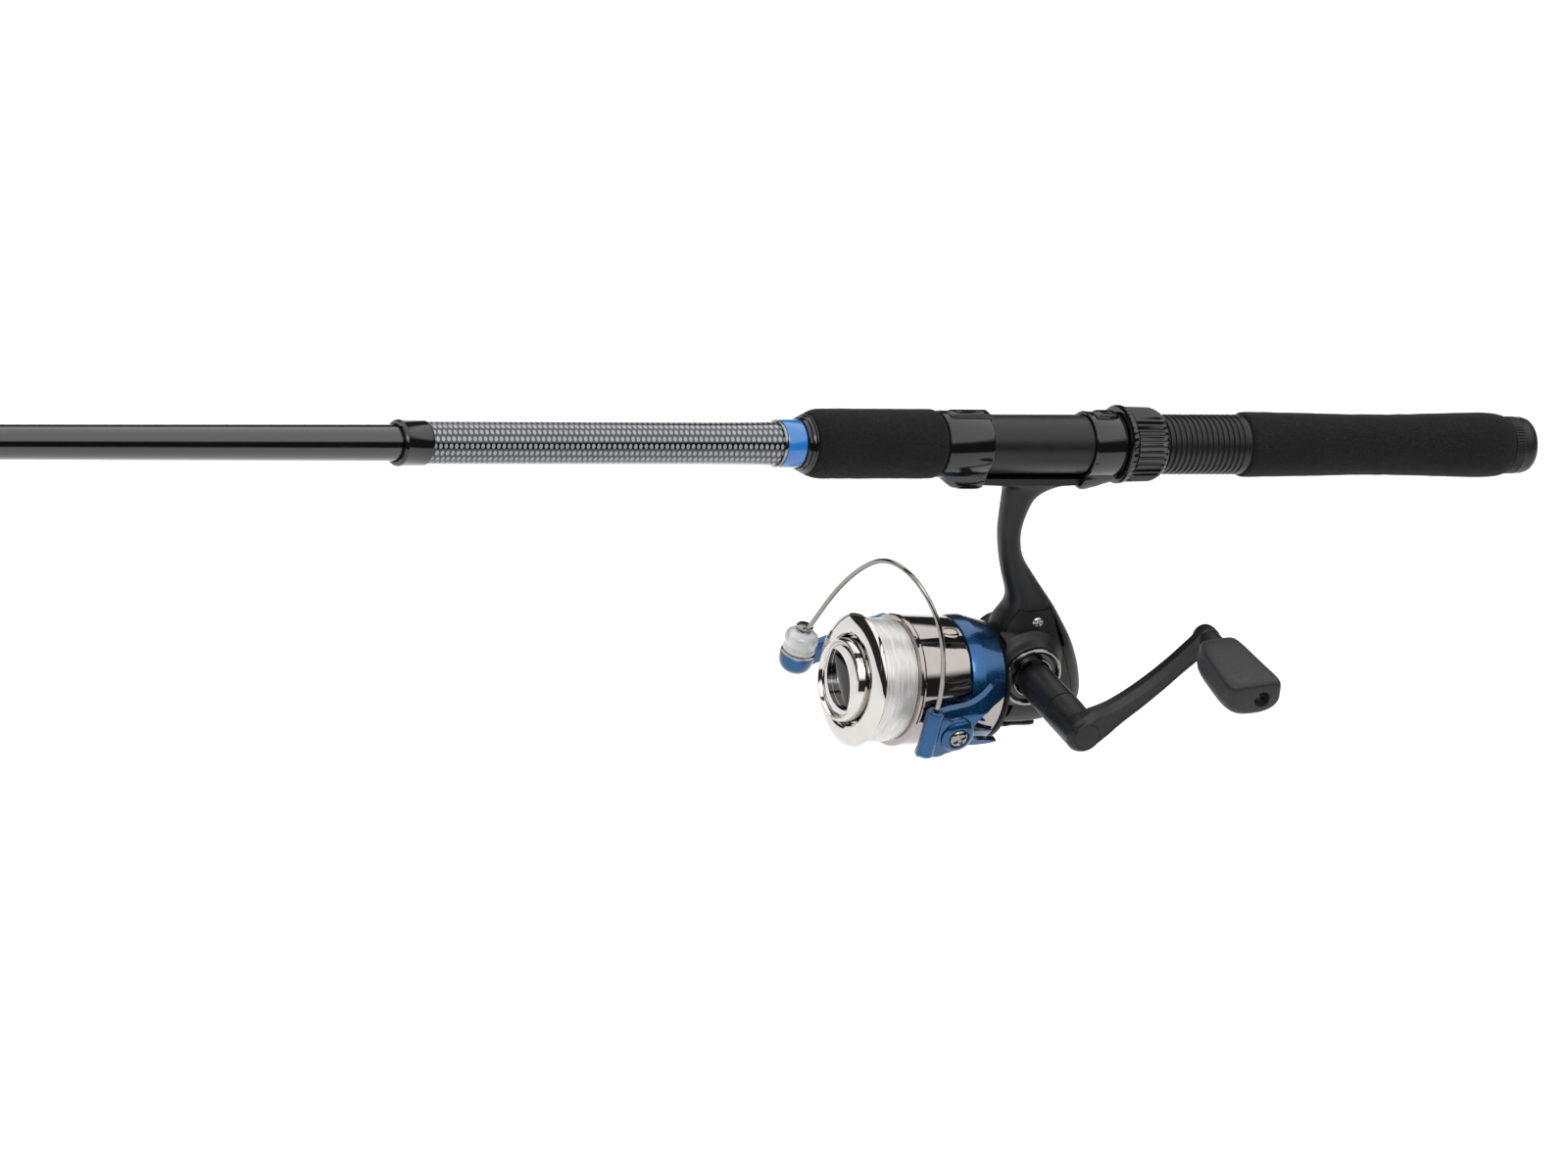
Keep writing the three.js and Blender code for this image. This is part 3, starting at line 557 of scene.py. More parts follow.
def wound_line(name, colour):
    """Clear nylon wound side by side: silvery, with fine striations round the spool."""
    made, tree, shader, where = new_finish(name)
    # strands are 0.28 mm; they are drawn at 0.5 mm, as fine as shows
    strands = add_node(tree, "ShaderNodeTexWave", {
        "wave_type": "BANDS", "bands_direction": "X", "Vector": where,
        "Scale": 0.314 / (0.5 * MM), "Distortion": 1.2, "Detail": 2.0, "Detail Scale": 0.6,
    }).outputs["Fac"]
    drawn_out = add_node(tree, "ShaderNodeMapping", {"Vector": where, "Scale": (14, 1, 1)})
    streaks = add_node(tree, "ShaderNodeTexNoise", {
        "Vector": drawn_out, "Scale": across(5), "Detail": 4.0})
    tone = add_node(tree, "ShaderNodeMath", {
        "operation": "MULTIPLY_ADD", 0: strands, 1: 0.3, 2: streaks})
    mixed = add_node(tree, "ShaderNodeMapRange", {0: tone, 1: 0.35, 2: 0.95})
    set_values(tree, shader, {
        "Base Color": add_node(tree, "ShaderNodeMix", {
            "data_type": "RGBA", 0: mixed, 6: shade(colour, 0.6), 7: shade(colour, 1.1)}),
        "Roughness": add_node(tree, "ShaderNodeMapRange", {
            0: streaks, 1: 0.3, 2: 0.7, 3: 0.28, 4: 0.45}),
        "Metallic": 0.45, "Coat Weight": 0.3, "Coat Roughness": 0.25,
        "Normal": add_node(tree, "ShaderNodeBump", {
            "Height": tone, "Strength": 0.5, "Distance": 0.12 * MM})})
    return made


def milky(name):
    """Moulded clear acetal: milky, lit from inside, with a polished skin."""
    made, tree, shader, where = new_finish(name)
    milk = add_node(tree, "ShaderNodeTexNoise", {
        "Vector": where, "Scale": across(5), "Detail": 3.0})
    set_values(tree, shader, {
        "Base Color": add_node(tree, "ShaderNodeMix", {
            "data_type": "RGBA", 0: milk, 6: (*linear("#d4d5d6"), 1), 7: (*linear("#f4f4f4"), 1)}),
        "Roughness": add_node(tree, "ShaderNodeMapRange", {0: milk, 3: 0.08, 4: 0.18}),
        "Transmission Weight": 0.45, "IOR": 1.48, "Coat Weight": 0.5,
        "Normal": add_node(tree, "ShaderNodeBump", {
            "Height": milk, "Strength": 0.2, "Distance": 0.05 * MM})})
    return made


def felted(name):
    """Oiled pressed felt: brown, matt and hairy."""
    made, tree, shader, where = new_finish(name)
    hair = add_node(tree, "ShaderNodeTexNoise", {
        "Vector": where, "Scale": across(0.4), "Detail": 4.0})
    set_values(tree, shader, {
        "Base Color": add_node(tree, "ShaderNodeMix", {
            "data_type": "RGBA", 0: hair, 6: (*linear("#2f2822"), 1), 7: (*linear("#5c5044"), 1)}),
        "Roughness": 0.95, "Sheen Weight": 0.3,
        "Normal": add_node(tree, "ShaderNodeBump", {
            "Height": hair, "Strength": 0.6, "Distance": 0.1 * MM})})
    return made


def make_finishes(scene):
    """Fills FINISHES with every material, from the colours of the panel."""
    colours, sizes = scene.rod_colours, scene.rod_sizes
    black = colours.moulding
    FINISHES.update({
        "lacquer": lacquered("black_lacquer_sprayed", colours.lacquer),
        "dots": lacquered("dot_print_under_lacquer", colours.lacquer, colours.dots,
                          sizes.dot_spacing, sizes.dot_rows),
        "band": enamelled("blue_enamel_band", colours.band),
        "foam": ground_foam("eva_foam_ground", colours.foam),
        "satin": moulded("abs_moulded_satin", shade(black, 1.2), 0.42, 0.5, 0.03, 0.35),
        "gloss": moulded("abs_moulded_gloss", black, 0.1, 3.0, 0.015, 0.6),
        "barrel": moulded("nylon_moulded_seat", shade(black, 1.3), 0.38, 0.6, 0.04, 0.4),
        "soft_black": moulded("soft_touch_knob", shade(black, 1.8), 0.5, 0.5, 0.05, 0.45, 0.05),
        "blue": flake_paint_with_painted_shade("blue_flake_paint", colours.blue),
        "chrome": plated("chrome_plated_bright", colours.chrome),
        "smoked": plated("chrome_plated_smoked", colours.smoked, 0.06),
        "wire": polished("stainless_drawn_polished", "#94918c", 0.1),
        "steel": polished("steel_turned", "#a9a7a4", 0.24),
        "frame": polished("guide_wire_dark_plated", "#77787c", 0.2),
        "brass": cast("brass_cut", "#b8923f", 0.38),
        "zinc": cast("zinc_die_cast", "#98989a", 0.5),
        "line": wound_line("nylon_line_wound", colours.winding),
        "milky": milky("acetal_milky_clear"),
        "ceramic": moulded("oxide_ceramic_polished", linear("#3c3c42"), 0.12, 2.0, 0.01, 0.5),
        "felt": felted("felt_pressed_oiled"),
    })


# ---- rod ----
def make_blank(sizes):
    """The handle tube with its collar, bright ring, coloured band and check."""
    low, high, _ = cad("butt_blank")
    radius, bore = 7.5, 6.95
    place("butt_blank_tube", turned(bmesh.new(), [
        (low.x, bore), (low.x, radius - 0.1), (low.x + 0.2, radius), (-140, radius),
        (-120, radius + 0.1), (-110.6, radius + 0.3), (-110.3, radius), (high.x, radius),
        (high.x, bore)], ring=True), FINISHES["dots"], "lacquer", ["butt_blank"])
    low, high, _ = cad("joint_collar")
    place("joint_collar_ferrule", turned(bmesh.new(), [
        (low.x, 6.9), (low.x + 0.1, 7.9), (low.x + 0.5, 8.25), (low.x + 1.1, 8.4),
        (low.x + 1.7, 8.3), (low.x + 2.0, 8.12), (high.x - 0.9, 8.12), (high.x - 0.4, 8.0),
        (high.x, 7.7), (high.x, 6.9)], ring=True), FINISHES["gloss"], "lacquer", ["joint_collar"])
    low, high, _ = cad("trim_ring")
    place("trim_ring_foil", turned(bmesh.new(), [
        (low.x, 7.7), (low.x, 8.3), (low.x + 0.3, 8.5), (high.x - 0.3, 8.5), (high.x, 8.4),
        (high.x, 7.7)], ring=True), FINISHES["wire"], "steel", ["trim_ring"])
    low, high, _ = cad("accent_band")
    place("accent_band_sleeve", turned(bmesh.new(), [
        (low.x, 7.8), (low.x, 8.35), (low.x + 0.3, 8.5), (low.x + 3, 8.62), (high.x - 0.4, 8.85),
        (high.x, 8.7), (high.x, 7.8)], ring=True), FINISHES["band"], "blue_gloss", ["accent_band"])
    low, high, _ = cad("grip_check")
    place("grip_check_rings", turned(bmesh.new(), [
        (low.x, 7.8), (low.x, 9.2), (low.x + 0.3, 9.5), (low.x + 1.2, 9.55), (low.x + 1.35, 9.3),
        (low.x + 1.5, 9.9), (low.x + 1.9, 10.2), (high.x - 0.9, 10.3), (high.x - 0.8, 10.05),
        (high.x - 0.6, 10.6), (high.x - 0.3, 10.8), (high.x, 10.7), (high.x, 7.8)], ring=True),
        FINISHES["gloss"], "satin_black", ["grip_check"])


def foam_tube(name, node, outside, bore):
    """A foam grip: turned, then every skin point is moved a little, as ground foam is."""
    skin = [tuple(p) for p in smooth(outside, 8)]
    profile = [(skin[0][0], bore), *skin, (skin[-1][0], bore)]
    bm = turned(bmesh.new(), profile, steps=80, ring=True)
    for v in bm.verts:
        reach = Vector((0, v.co.y, v.co.z))
        if reach.length > bore + 1:
            lift = noise.noise(v.co * 0.22) * 0.12 + noise.noise(v.co * 0.9) * 0.05
            v.co += reach.normalized() * (lift - 0.12)
    made = place(name, bm, FINISHES["foam"], "eva_foam", [node], crease=60)


def make_grips(sizes):
    """Both foam grips and the cap on the butt."""
    low, high, _ = cad("fore_grip")
    foam_tube("fore_grip_foam", "fore_grip", [
        (low.x, 9.4), (low.x + 0.1, 10.4), (low.x + 0.7, 11.3), (low.x + 2.4, 12.1),
        (low.x + 5.5, 12.6), (low.x + 14, 12.65), (low.x + 30, 12.6), (high.x - 8, 12.6),
        (high.x - 2, 12.55), (high.x - 0.6, 12.3), (high.x, 11.8)], 7.8)
    low, high, _ = cad("rear_grip")
    foam_tube("rear_grip_foam", "rear_grip", [
        (low.x, 10.2), (low.x + 0.3, 11.0), (low.x + 1.4, 11.75), (low.x + 8, 11.75),
        (110, 11.4), (125, 11.1), (139, 11), (152, 11.15), (165, 11.45), (176, 11.7),
        (183, 11.7), (188, 11.4), (high.x - 1.2, 10.8), (high.x, 10.3)], 7.8)
    low, high, _ = cad("butt_cap")
    front = cad("rear_grip")[1].x + 0.3
    ticks = 60
    cap = []
    for x, radius, depth in (
        (front, 9.9, 0), (front + 0.3, 10.25, 0), (front + 0.8, 10.3, 0.3), (front + 3.4, 10.3, 0.3),
        (front + 3.8, 10.3, 0), (front + 4.4, 10.1, 0), (front + 6.4, 10.15, 0), (high.x - 1.6, 9.6, 0),
        (high.x - 0.5, 8.6, 0), (high.x, 7.2, 0), (high.x, 4.2, 0), (high.x - 0.5, 3.8, 0),
        (high.x - 0.5, 0.5, 0),
    ):
        cap.append([
            Vector((x, r * math.cos(a), r * math.sin(a)))
            for i in range(ticks * 4)
            for a, r in [(2 * math.pi * i / (ticks * 4), radius - depth * (i % 4 == 0))]
        ])
    cap = loft(bmesh.new(), cap)
    plug = turned(bmesh.new(), [(low.x, 0), (low.x, 6.6), (front + 1, 6.6), (front + 1, 0)])
    place("butt_cap_moulding", added(cap, plug), FINISHES["satin"], "gloss_black", ["butt_cap"])


def pocket_ring(x, drop, half=8.2):
    """The outline of a hood's belly at one place along the rod."""
    side = [(half, -4), (half, -9.5), (half - 0.25, -12), (half - 1.1, -14.4), (half - 2.4, -15.5),
            (half - 4.4, -16)]
    ratio = (drop - 9.5) / 6.5
    points = [(y, z if z > -9.5 else -9.5 + (z + 9.5) * ratio) for y, z in side]
    ring = points + [(-y, z) for y, z in reversed(points)]
    return [Vector((x, y, z)) for y, z in ring]


def make_seat(sizes):
    """The seat's threaded barrel, with the fixed hood that takes the foot's front end."""
    low, high, _ = cad("reel_seat")
    pitch = sizes.thread_pitch / MM
    start, end = 34.0, high.x - 1.0
    thread = []
    for i in range(int((end - start) / pitch)):
        x = start + i * pitch
        thread += [(x, 10.1), (x + 0.35 * pitch, 10.15), (x + 0.5 * pitch, 10.7),
                   (x + 0.62 * pitch, 10.77), (x + 0.86 * pitch, 10.77), (x + 0.95 * pitch, 10.65)]
    back = -25.5
    barrel = turned(bmesh.new(), [
        (low.x, 7.8), (low.x, 10.6), (low.x + 0.6, 11.2), (low.x + 0.7, 11.5), (low.x + 2, 11.8),
        (back - 0.7, 11.9), (back - 0.2, 11.75), (back, 11.4), (back, 10.6), (16.5, 10.6),
        (17, 10.1), *thread, (end + 0.6, 10.75), (high.x, 10.6), (high.x, 7.8)], ring=True, steps=88)
    belly = loft(bmesh.new(), [pocket_ring(x, d) for x, d in (
        (low.x + 4, 11.6), (low.x + 6, 13.6), (low.x + 9, 15.1), (low.x + 12, 15.8),
        (back - 1.5, 15.9), (back + 1.0, 15.6), (back + 1.5, 15.1))])
    foot_room = plate(bmesh.new(), [(low.x + 7, -14), (60, -14), (60, -10.9), (low.x + 7, -10.9)],
                      "Y", -6.9, 6.9)
    belly = carved(belly, foot_room)
    bore = turned(bmesh.new(), [(low.x - 5, 0), (low.x - 5, 9.5), (20, 9.5), (20, 0)], steps=48)
    belly = carved(belly, bore)
    rail = rail_block(low.x + 3, back + 1.2, 13)
    place("reel_seat_barrel", barrel, FINISHES["barrel"], "satin_black", ["reel_seat"])
    hood = added(belly, rail)
    place("fixed_hood_belly", hood, FINISHES["gloss"], "gloss_black", body="rod_handle", bevel=0.3)
    cuff = turned(bmesh.new(), [
        (low.x + 0.7, 11.4), (low.x + 0.9, 11.8), (low.x + 1.6, 12.0), (back - 0.6, 12.0),
        (back - 0.1, 11.85), (back + 0.1, 11.5), (back + 0.1, 10.7), (low.x + 0.7, 10.7)], ring=True)
    place("fixed_hood_cuff", cuff, FINISHES["gloss"], "gloss_black", body="rod_handle")


def rail_block(low, high, top):
    """The guide rail on a hood's top: a low block with an oval recess."""
    block = plate(bmesh.new(), [(low, 9), (high, 9), (high, top - 0.6), (high - 1.4, top),
                                (low + 1.4, top), (low, top - 0.6)], "Y", -2.2, 2.2)
    soften(block, 0.4, 2)
    middle = (low + high) / 2
    reach = (high - low) / 2 - 2.2
    recess = loft(bmesh.new(), [
        [Vector((p.x, p.y, z))
         for p in oval((middle, 0, 0), reach * k, 1.3 * k, (1, 0, 0), (0, 1, 0), 32, 3)]
        for z, k in ((top - 0.5, 0.8), (top - 0.2, 0.95), (top + 1, 1.0))])
    return carved(block, recess)


def make_sliding_hood(sizes):
    """The hood that slides along the barrel on to the foot's back end."""
    low, high, _ = cad("sliding_hood")
    shell = turned(bmesh.new(), [
        (low.x, 10.9), (low.x, 11.5), (low.x + 0.5, 11.9), (high.x - 0.9, 11.9),
        (high.x - 0.3, 11.7), (high.x, 11.3), (high.x, 10.9)], ring=True, steps=88)
    belly = loft(bmesh.new(), [pocket_ring(x, d) for x, d in (
        (low.x - 0.1, 14.9), (low.x + 0.4, 15.6), (low.x + 1.4, 15.9), (low.x + 3, 15.7),
        (low.x + 6, 14.6), (low.x + 9, 13.2), (low.x + 11.5, 12.2))])
    room = plate(bmesh.new(), [(0, -14), (high.x - 5, -14), (high.x - 5, -10.9), (0, -10.9)],
                 "Y", -6.9, 6.9)
    belly = carved(belly, room)
    bore = turned(bmesh.new(), [(0, 0), (0, 10.95), (60, 10.95), (60, 0)], steps=48)
    belly = carved(belly, bore)
    hood = added(shell, belly, carved(rail_block(low.x + 2, high.x - 2, 13), turned(
        bmesh.new(), [(0, 0), (0, 10.95), (60, 10.95), (60, 0)], steps=48)))
    place("sliding_hood_moulding", hood, FINISHES["gloss"], "gloss_black", ["sliding_hood"],
          bevel=0.2)


def toothed_ring(x, radius, depth, teeth, power=1.0, per=8):
    """A ring round the rod whose radius dips between teeth."""
    ring = []
    for i in range(teeth * per):
        a = 2 * math.pi * i / (teeth * per)
        dip = (0.5 - 0.5 * math.cos(teeth * a)) ** power
        r = radius - depth * dip
        ring.append(Vector((x, r * math.cos(a), r * math.sin(a))))
    return ring


def make_lock_nut(sizes):
    """The ribbed nut behind the sliding hood."""
    low, high, _ = cad("lock_nut")
    ribs = sizes.nut_ribs
    outside = [
        (low.x, 12.6, 0), (low.x + 0.15, 13.5, 0), (low.x + 0.6, 14.05, 0.0),
        (low.x + 1.0, 14.1, 0.35), (low.x + 1.9, 14.1, 0.35), (low.x + 2.3, 13.9, 0.0),
        (low.x + 2.6, 13.3, 0), (low.x + 2.7, 12.6, 0), (low.x + 3.4, 12.55, 0),
        (low.x + 3.5, 13.1, 0.3), (low.x + 4.1, 13.5, 0.9), (high.x - 2.4, 13.3, 0.9),
        (high.x - 1.5, 12.9, 0.5), (high.x - 0.9, 12.6, 0), (high.x - 0.2, 12.3, 0),
        (high.x, 12.0, 0)]
    rings = [toothed_ring(x, r, d, ribs, 0.6) for x, r, d in outside]
    rings += [toothed_ring(x, 11.05, 0, ribs) for x in (high.x, low.x)]
    place("lock_nut_moulding", loft(bmesh.new(), rings, closed=True), FINISHES["gloss"],
          "satin_black", ["lock_nut"], crease=40)


def make_sections(sizes):
    """The four thinner tubes of the rod."""
    for number in (2, 3, 4, 5):
        low, high, _ = cad(f"section_{number}")
        tip, butt = {2: (5.95, 6.6), 3: (4.3, 5.1), 4: (2.75, 3.45), 5: (1.0, 1.9)}[number]
        outside = [(low.x, tip - 0.15), (low.x + 0.15, tip), (high.x - 20, butt - 0.03),
                   (high.x - 0.2, butt), (high.x, butt - 0.2)]
        if number < 5:
            profile = [(low.x, tip - 0.65), *outside, (high.x, butt - 0.8)]
            tube = turned(bmesh.new(), profile, steps=64, ring=True)
        else:
            tube = turned(bmesh.new(), [(low.x, 0), *outside, (high.x, 0)], steps=48)
        place(f"section_{number}_tube", tube, FINISHES["lacquer"], "lacquer", [f"section_{number}"])


LEAN = -18  # degrees that each guide's eye leans to the tip


def make_guides(sizes):
    """A guide at the end of each thinner section: frame, foot wraps and ring."""
    for number in (2, 3, 4, 5):
        ring_low, ring_high, eye = cad(f"guide_ring_{number}")
        rim = (ring_high.y - ring_low.y) / 2 + 0.95
        tip = cad(f"section_{number}")[0].x
        tube = {2: 5.95, 3: 4.3, 4: 2.75, 5: 1.0}[number]
        front, back = tip - (1.45 if number == 5 else 0.1), tip + 9
        wrap = [(front, tube + 0.25), (front, tube + 0.8), (front + 0.5, tube + 1.15),
                (front + 1.2, tube + 1.25), (back - 2.4, tube + 1.2), (back - 0.8, tube + 0.8),
                (back, tube + 0.35), (back, tube + 0.22)]
        if number == 5:
            sleeve = turned(bmesh.new(), [(front, 0), *wrap[1:], (tip - 0.2, tube + 0.22),
                                          (tip - 0.2, 0)], steps=48)
        else:
            sleeve = turned(bmesh.new(), wrap, steps=48, ring=True)
        hoop = turned(bmesh.new(), [
            (0.75 * math.cos(t * math.pi / 6), rim + 0.75 * math.sin(t * math.pi / 6))
            for t in range(12)], steps=56, ring=True)
        hoop = turn(hoop, LEAN, "Y", (0, 0, 0))
        bmesh.ops.translate(hoop, vec=eye, verts=hoop.verts)
        legs = []
        for side in (-1, 1):
            top = Vector((back - 2.6, side * tube * 0.55, -tube * 0.8))
            foot = Vector((eye.x - 1.4, side * rim * 0.86, eye.z + rim * 0.52))
            knee = (top + foot) / 2 + Vector((1.2, side * 0.5, 0.4))
            legs.append(swept(bmesh.new(), smooth([top, knee, foot], 5), 0.7, 10))
        brace = [Vector((back - 0.8, 0, -tube - 0.4)), Vector((back - 1.6, 0, (eye.z - tube) / 2 + 1)),
                 Vector((eye.x + 1.6, 0, eye.z + rim * 0.98))]
        legs.append(swept(bmesh.new(), smooth(brace, 5), 0.7, 10))
        place(f"guide_frame_{number}_wire", added(hoop, *legs), FINISHES["frame"], "steel",
              [f"guide_frame_{number}"])
        place(f"guide_wrap_{number}", sleeve, FINISHES["gloss"], "lacquer",
              body=frame["nodes"][f"guide_frame_{number}"]["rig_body"])
        hole = rim - 2
        insert = turned(bmesh.new(), [
            (-0.5, rim - 0.8), (-0.9, rim - 1.1), (-0.9, hole + 0.5), (-0.5, hole), (0.5, hole),
            (0.9, hole + 0.5), (0.9, rim - 1.1), (0.5, rim - 0.8)], steps=56, ring=True)
        insert = turn(insert, LEAN, "Y", (0, 0, 0))
        bmesh.ops.translate(insert, vec=eye, verts=insert.verts)
        place(f"guide_ring_{number}_insert", insert, FINISHES["ceramic"], "ceramic",
              [f"guide_ring_{number}"])


# ---- reel body ----
# height, front, back, half width and squareness of the body's level sections
BODY_LEVELS = [
    (-11.1, -36, 24.3, 6.0, 7), (-13.3, -36, 24.3, 6.1, 7), (-13.75, -28, 20.5, 6.1, 5),
    (-14.3, -19.5, 15.6, 5.9, 3.4), (-15.3, -13.6, 12.0, 5.6, 2.7), (-16.8, -11.2, 8.6, 5.2, 2.4),
    (-19, -10.1, 5.0, 4.9, 2.3), (-22.5, -9.4, 2.4, 4.7, 2.3), (-30, -8.2, 1.0, 4.6, 2.3),
    (-36.5, -6.9, 1.4, 4.6, 2.3), (-44.5, -4.3, 4.5, 4.7, 2.3), (-52.6, -0.9, 11.4, 4.9, 2.4),
    (-60.6, 3.2, 19.0, 5.7, 2.5), (-65, 4.0, 23.1, 6.7, 2.6), (-68.8, 2.9, 26.2, 7.9, 2.7),
    (-72, 1.9, 28.7, 9.1, 2.8), (-76, 1.8, 31.7, 10.4, 2.9), (-81, 1.8, 34.8, 11.3, 3),
    (-88, 1.8, 38.4, 11.7, 3), (-96, 1.8, 41.3, 11.7, 3), (-101.5, 1.8, 41.4, 11.2, 3),
    (-105.5, 2.2, 38.6, 10.0, 2.8), (-108.6, 3.4, 32.5, 8.0, 2.6), (-110.6, 6, 25, 5.6, 2.4),
    (-111.6, 11, 18, 2.4, 2.2),
]
COVER_OUTLINE = [(3.6, -68.6), (10, -64.9), (20, -64.4), (21.6, -67), (24, -73.5), (28.5, -82),
                 (33, -91), (35.5, -98), (33, -104), (26, -107.5), (12, -108.5), (4, -108)]
SLOT_OUTLINE = [(17.0, -61.6), (18.5, -62.0), (22.4, -67.6), (27.0, -76.4), (26.6, -77.3),
                (24.6, -77.9), (21.4, -71.0), (17.6, -63.6)]
SCREW_1 = Vector((14.3, -7.6, -68.8))
SCREW_2 = Vector((33.0, -9.4, -98.6))


def body_loft(grow=0.0):
    """The reel body's outer shape, or the same grown outward by a few hundredths."""
    curve = smooth([Vector(row[:4]) for row in BODY_LEVELS], 3)
    squares = smooth([Vector((row[4], 0, 0)) for row in BODY_LEVELS], 3)
    rings = []
    for (z, front, back, half), square in zip(curve, squares):
        wide = (back - front) / 2 + grow
        rings.append(oval(((front + back) / 2, 0, z), wide, half + grow, (1, 0, 0), (0, 1, 0), 88,
                          max(square.x, 2.0)))
    return loft(bmesh.new(), rings)


def grown(outline, amount):
    """An outline moved outward all round, or inward for a negative amount."""
    middle = sum((Vector(p) for p in outline), Vector((0, 0))) / len(outline)
    return [tuple(Vector(p) + (Vector(p) - middle).normalized() * amount) for p in outline]


def behind_rotor(piece):
    """The part of a round piece that lies behind the rotor's back edge."""
    room = plate(bmesh.new(), [(1.9, -60), (60, -60), (60, -125), (1.9, -125)], "Y", -40, 40)
    return carved(piece, room, "INTERSECT")


def make_body(sizes):
    """The gearbox with its stem and foot, cover, crank turret, screw cap and lever."""
    cx, cz = CRANK.x, CRANK.z
    flange = turned(bmesh.new(), [
        (-9, 0), (-9, 17.3), (1.55, 17.3), (1.7, 20.4), (2.2, 21.2), (3.2, 21.4), (4.4, 20.6),
        (6.4, 18.4), (9, 16.2), (12, 13), (12, 0)], centre=SPOOL_AXIS)
    cover = smooth([Vector(p) for p in COVER_OUTLINE], 5, closed=True)
    shell = carved(body_loft(), flange, "UNION")
    shell = carved(shell, plate(bmesh.new(), cover, "Y", -30, -5.4))
    slot = smooth([Vector(p) for p in SLOT_OUTLINE], 4, closed=True)
    shell = carved(shell, plate(bmesh.new(), slot, "Y", -30, -4.2))
    far_bore = turned(bmesh.new(), [(10, 0), (10, 7.2), (30, 7.2), (30, 0)], "Y", (cx, 0, cz), 48)
    shell = carved(shell, far_bore)
    ring = turned(bmesh.new(), [
        (10, 0), (10, 11.4), (11.2, 10.6), (12.4, 9.8), (15.0, 9.4), (15.6, 8.9), (15.6, 7.4),
        (10.2, 7.2), (10.2, 0)], "Y", (cx, 0, cz), 64)
    place("reel_body_shell", added(shell, ring), FINISHES["satin"], "reel_black", ["reel_body"],
          crease=28, bevel=0.25)

    inset = smooth([Vector(p) for p in grown(COVER_OUTLINE, -0.32)], 5, closed=True)
    panel = carved(body_loft(0.05), plate(bmesh.new(), inset, "Y", -30, -5.6), "INTERSECT")
    room = turned(bmesh.new(), [(-12, 0), (-12, 21.9), (3.6, 21.9), (4.8, 21.1), (7, 18.8),
                                (10, 16.2), (12, 13.4), (12, 0)], centre=SPOOL_AXIS)
    panel = carved(panel, room)
    boss = turned(bmesh.new(), [
        (-5, 0), (-5, 15.5), (-10.6, 15.2), (-11.5, 14.2), (-12.2, 13.2), (-13.2, 12.5),
        (-14.6, 12.2), (-15.4, 12.0), (-15.75, 11.7), (-15.75, 7.0), (-12.6, 7.0), (-12.6, 0)],
        "Y", (cx, 0, cz), 96)
    boss = behind_rotor(boss)
    place("side_cover_panel", panel, FINISHES["satin"], "reel_black", ["side_cover"],
          crease=28, bevel=0.2)
    place("crank_boss_turret", boss, FINISHES["satin"], "reel_black", body="rod_handle",
          crease=35)

    collar = turned(bmesh.new(), [
        (-15.6, 10.2), (-15.9, 11.2), (-16.6, 11.45), (-17.1, 11.4), (-17.4, 11.0), (-17.4, 10.5),
        (-17.0, 10.2)], "Y", (cx, 0, cz), 96, ring=True)
    collar = behind_rotor(collar)
    place("crank_collar_rim", collar, FINISHES["wire"], "chrome_plate", ["crank_collar"])
    cup = turned(bmesh.new(), [
        (-15.6, 6.9), (-15.6, 10.3), (-16.9, 10.3), (-17.0, 10.1), (-16.2, 9.3), (-16.0, 7.6),
        (-16.3, 7.3), (-16.3, 6.9)], "Y", (cx, 0, cz), 96, ring=True)
    cup = behind_rotor(cup)
    place("crank_seal_ring", cup, FINISHES["gloss"], "gloss_black", body="rod_handle")
    bright = turned(bmesh.new(), [
        (-16.0, 6.8), (-16.8, 6.9), (-17.3, 7.2), (-17.3, 7.5), (-16.6, 7.7), (-16.0, 7.7)],
        "Y", (cx, 0, cz), 96, ring=True)
    place("crank_bush_bright", bright, FINISHES["wire"], "chrome_plate", body="rod_handle")
    low, high, _ = cad("screw_cap")
    cap = turned(bmesh.new(), [
        (low.y, 0), (low.y, 6.4), (low.y + 0.4, 6.6), (high.y - 1.4, 6.6), (high.y - 0.6, 6.1),
        (high.y, 5.2), (high.y - 0.3, 4.6), (high.y - 0.7, 4.2), (high.y - 0.7, 0)],
        "Y", (cx, 0, cz), 64)
    coin = plate(bmesh.new(), [(cx - 5, cz - 0.6), (cx + 5, cz - 0.6), (cx + 5, cz + 0.6),
                               (cx - 5, cz + 0.6)], "Y", high.y - 1.6, high.y + 2)
    place("screw_cap_moulding", carved(cap, coin), FINISHES["gloss"], "satin_black", ["screw_cap"])

    low, high, _ = cad("anti_reverse_lever")
    tab = plate(bmesh.new(), smooth([Vector(p) for p in (
        (low.x, -2.2), (low.x + 3.4, -3.3), (low.x + 7, -2.4), (high.x - 3, -2.2), (high.x, -1.2),
        (high.x, 1.2), (high.x - 3, 2.2), (low.x + 7, 2.4), (low.x + 3.4, 3.3), (low.x, 2.2))],
        4, closed=True), "Z", low.z, high.z)
    place("anti_reverse_tab", soften(tab, 0.3), FINISHES["satin"], "satin_black",
          ["anti_reverse_lever"])


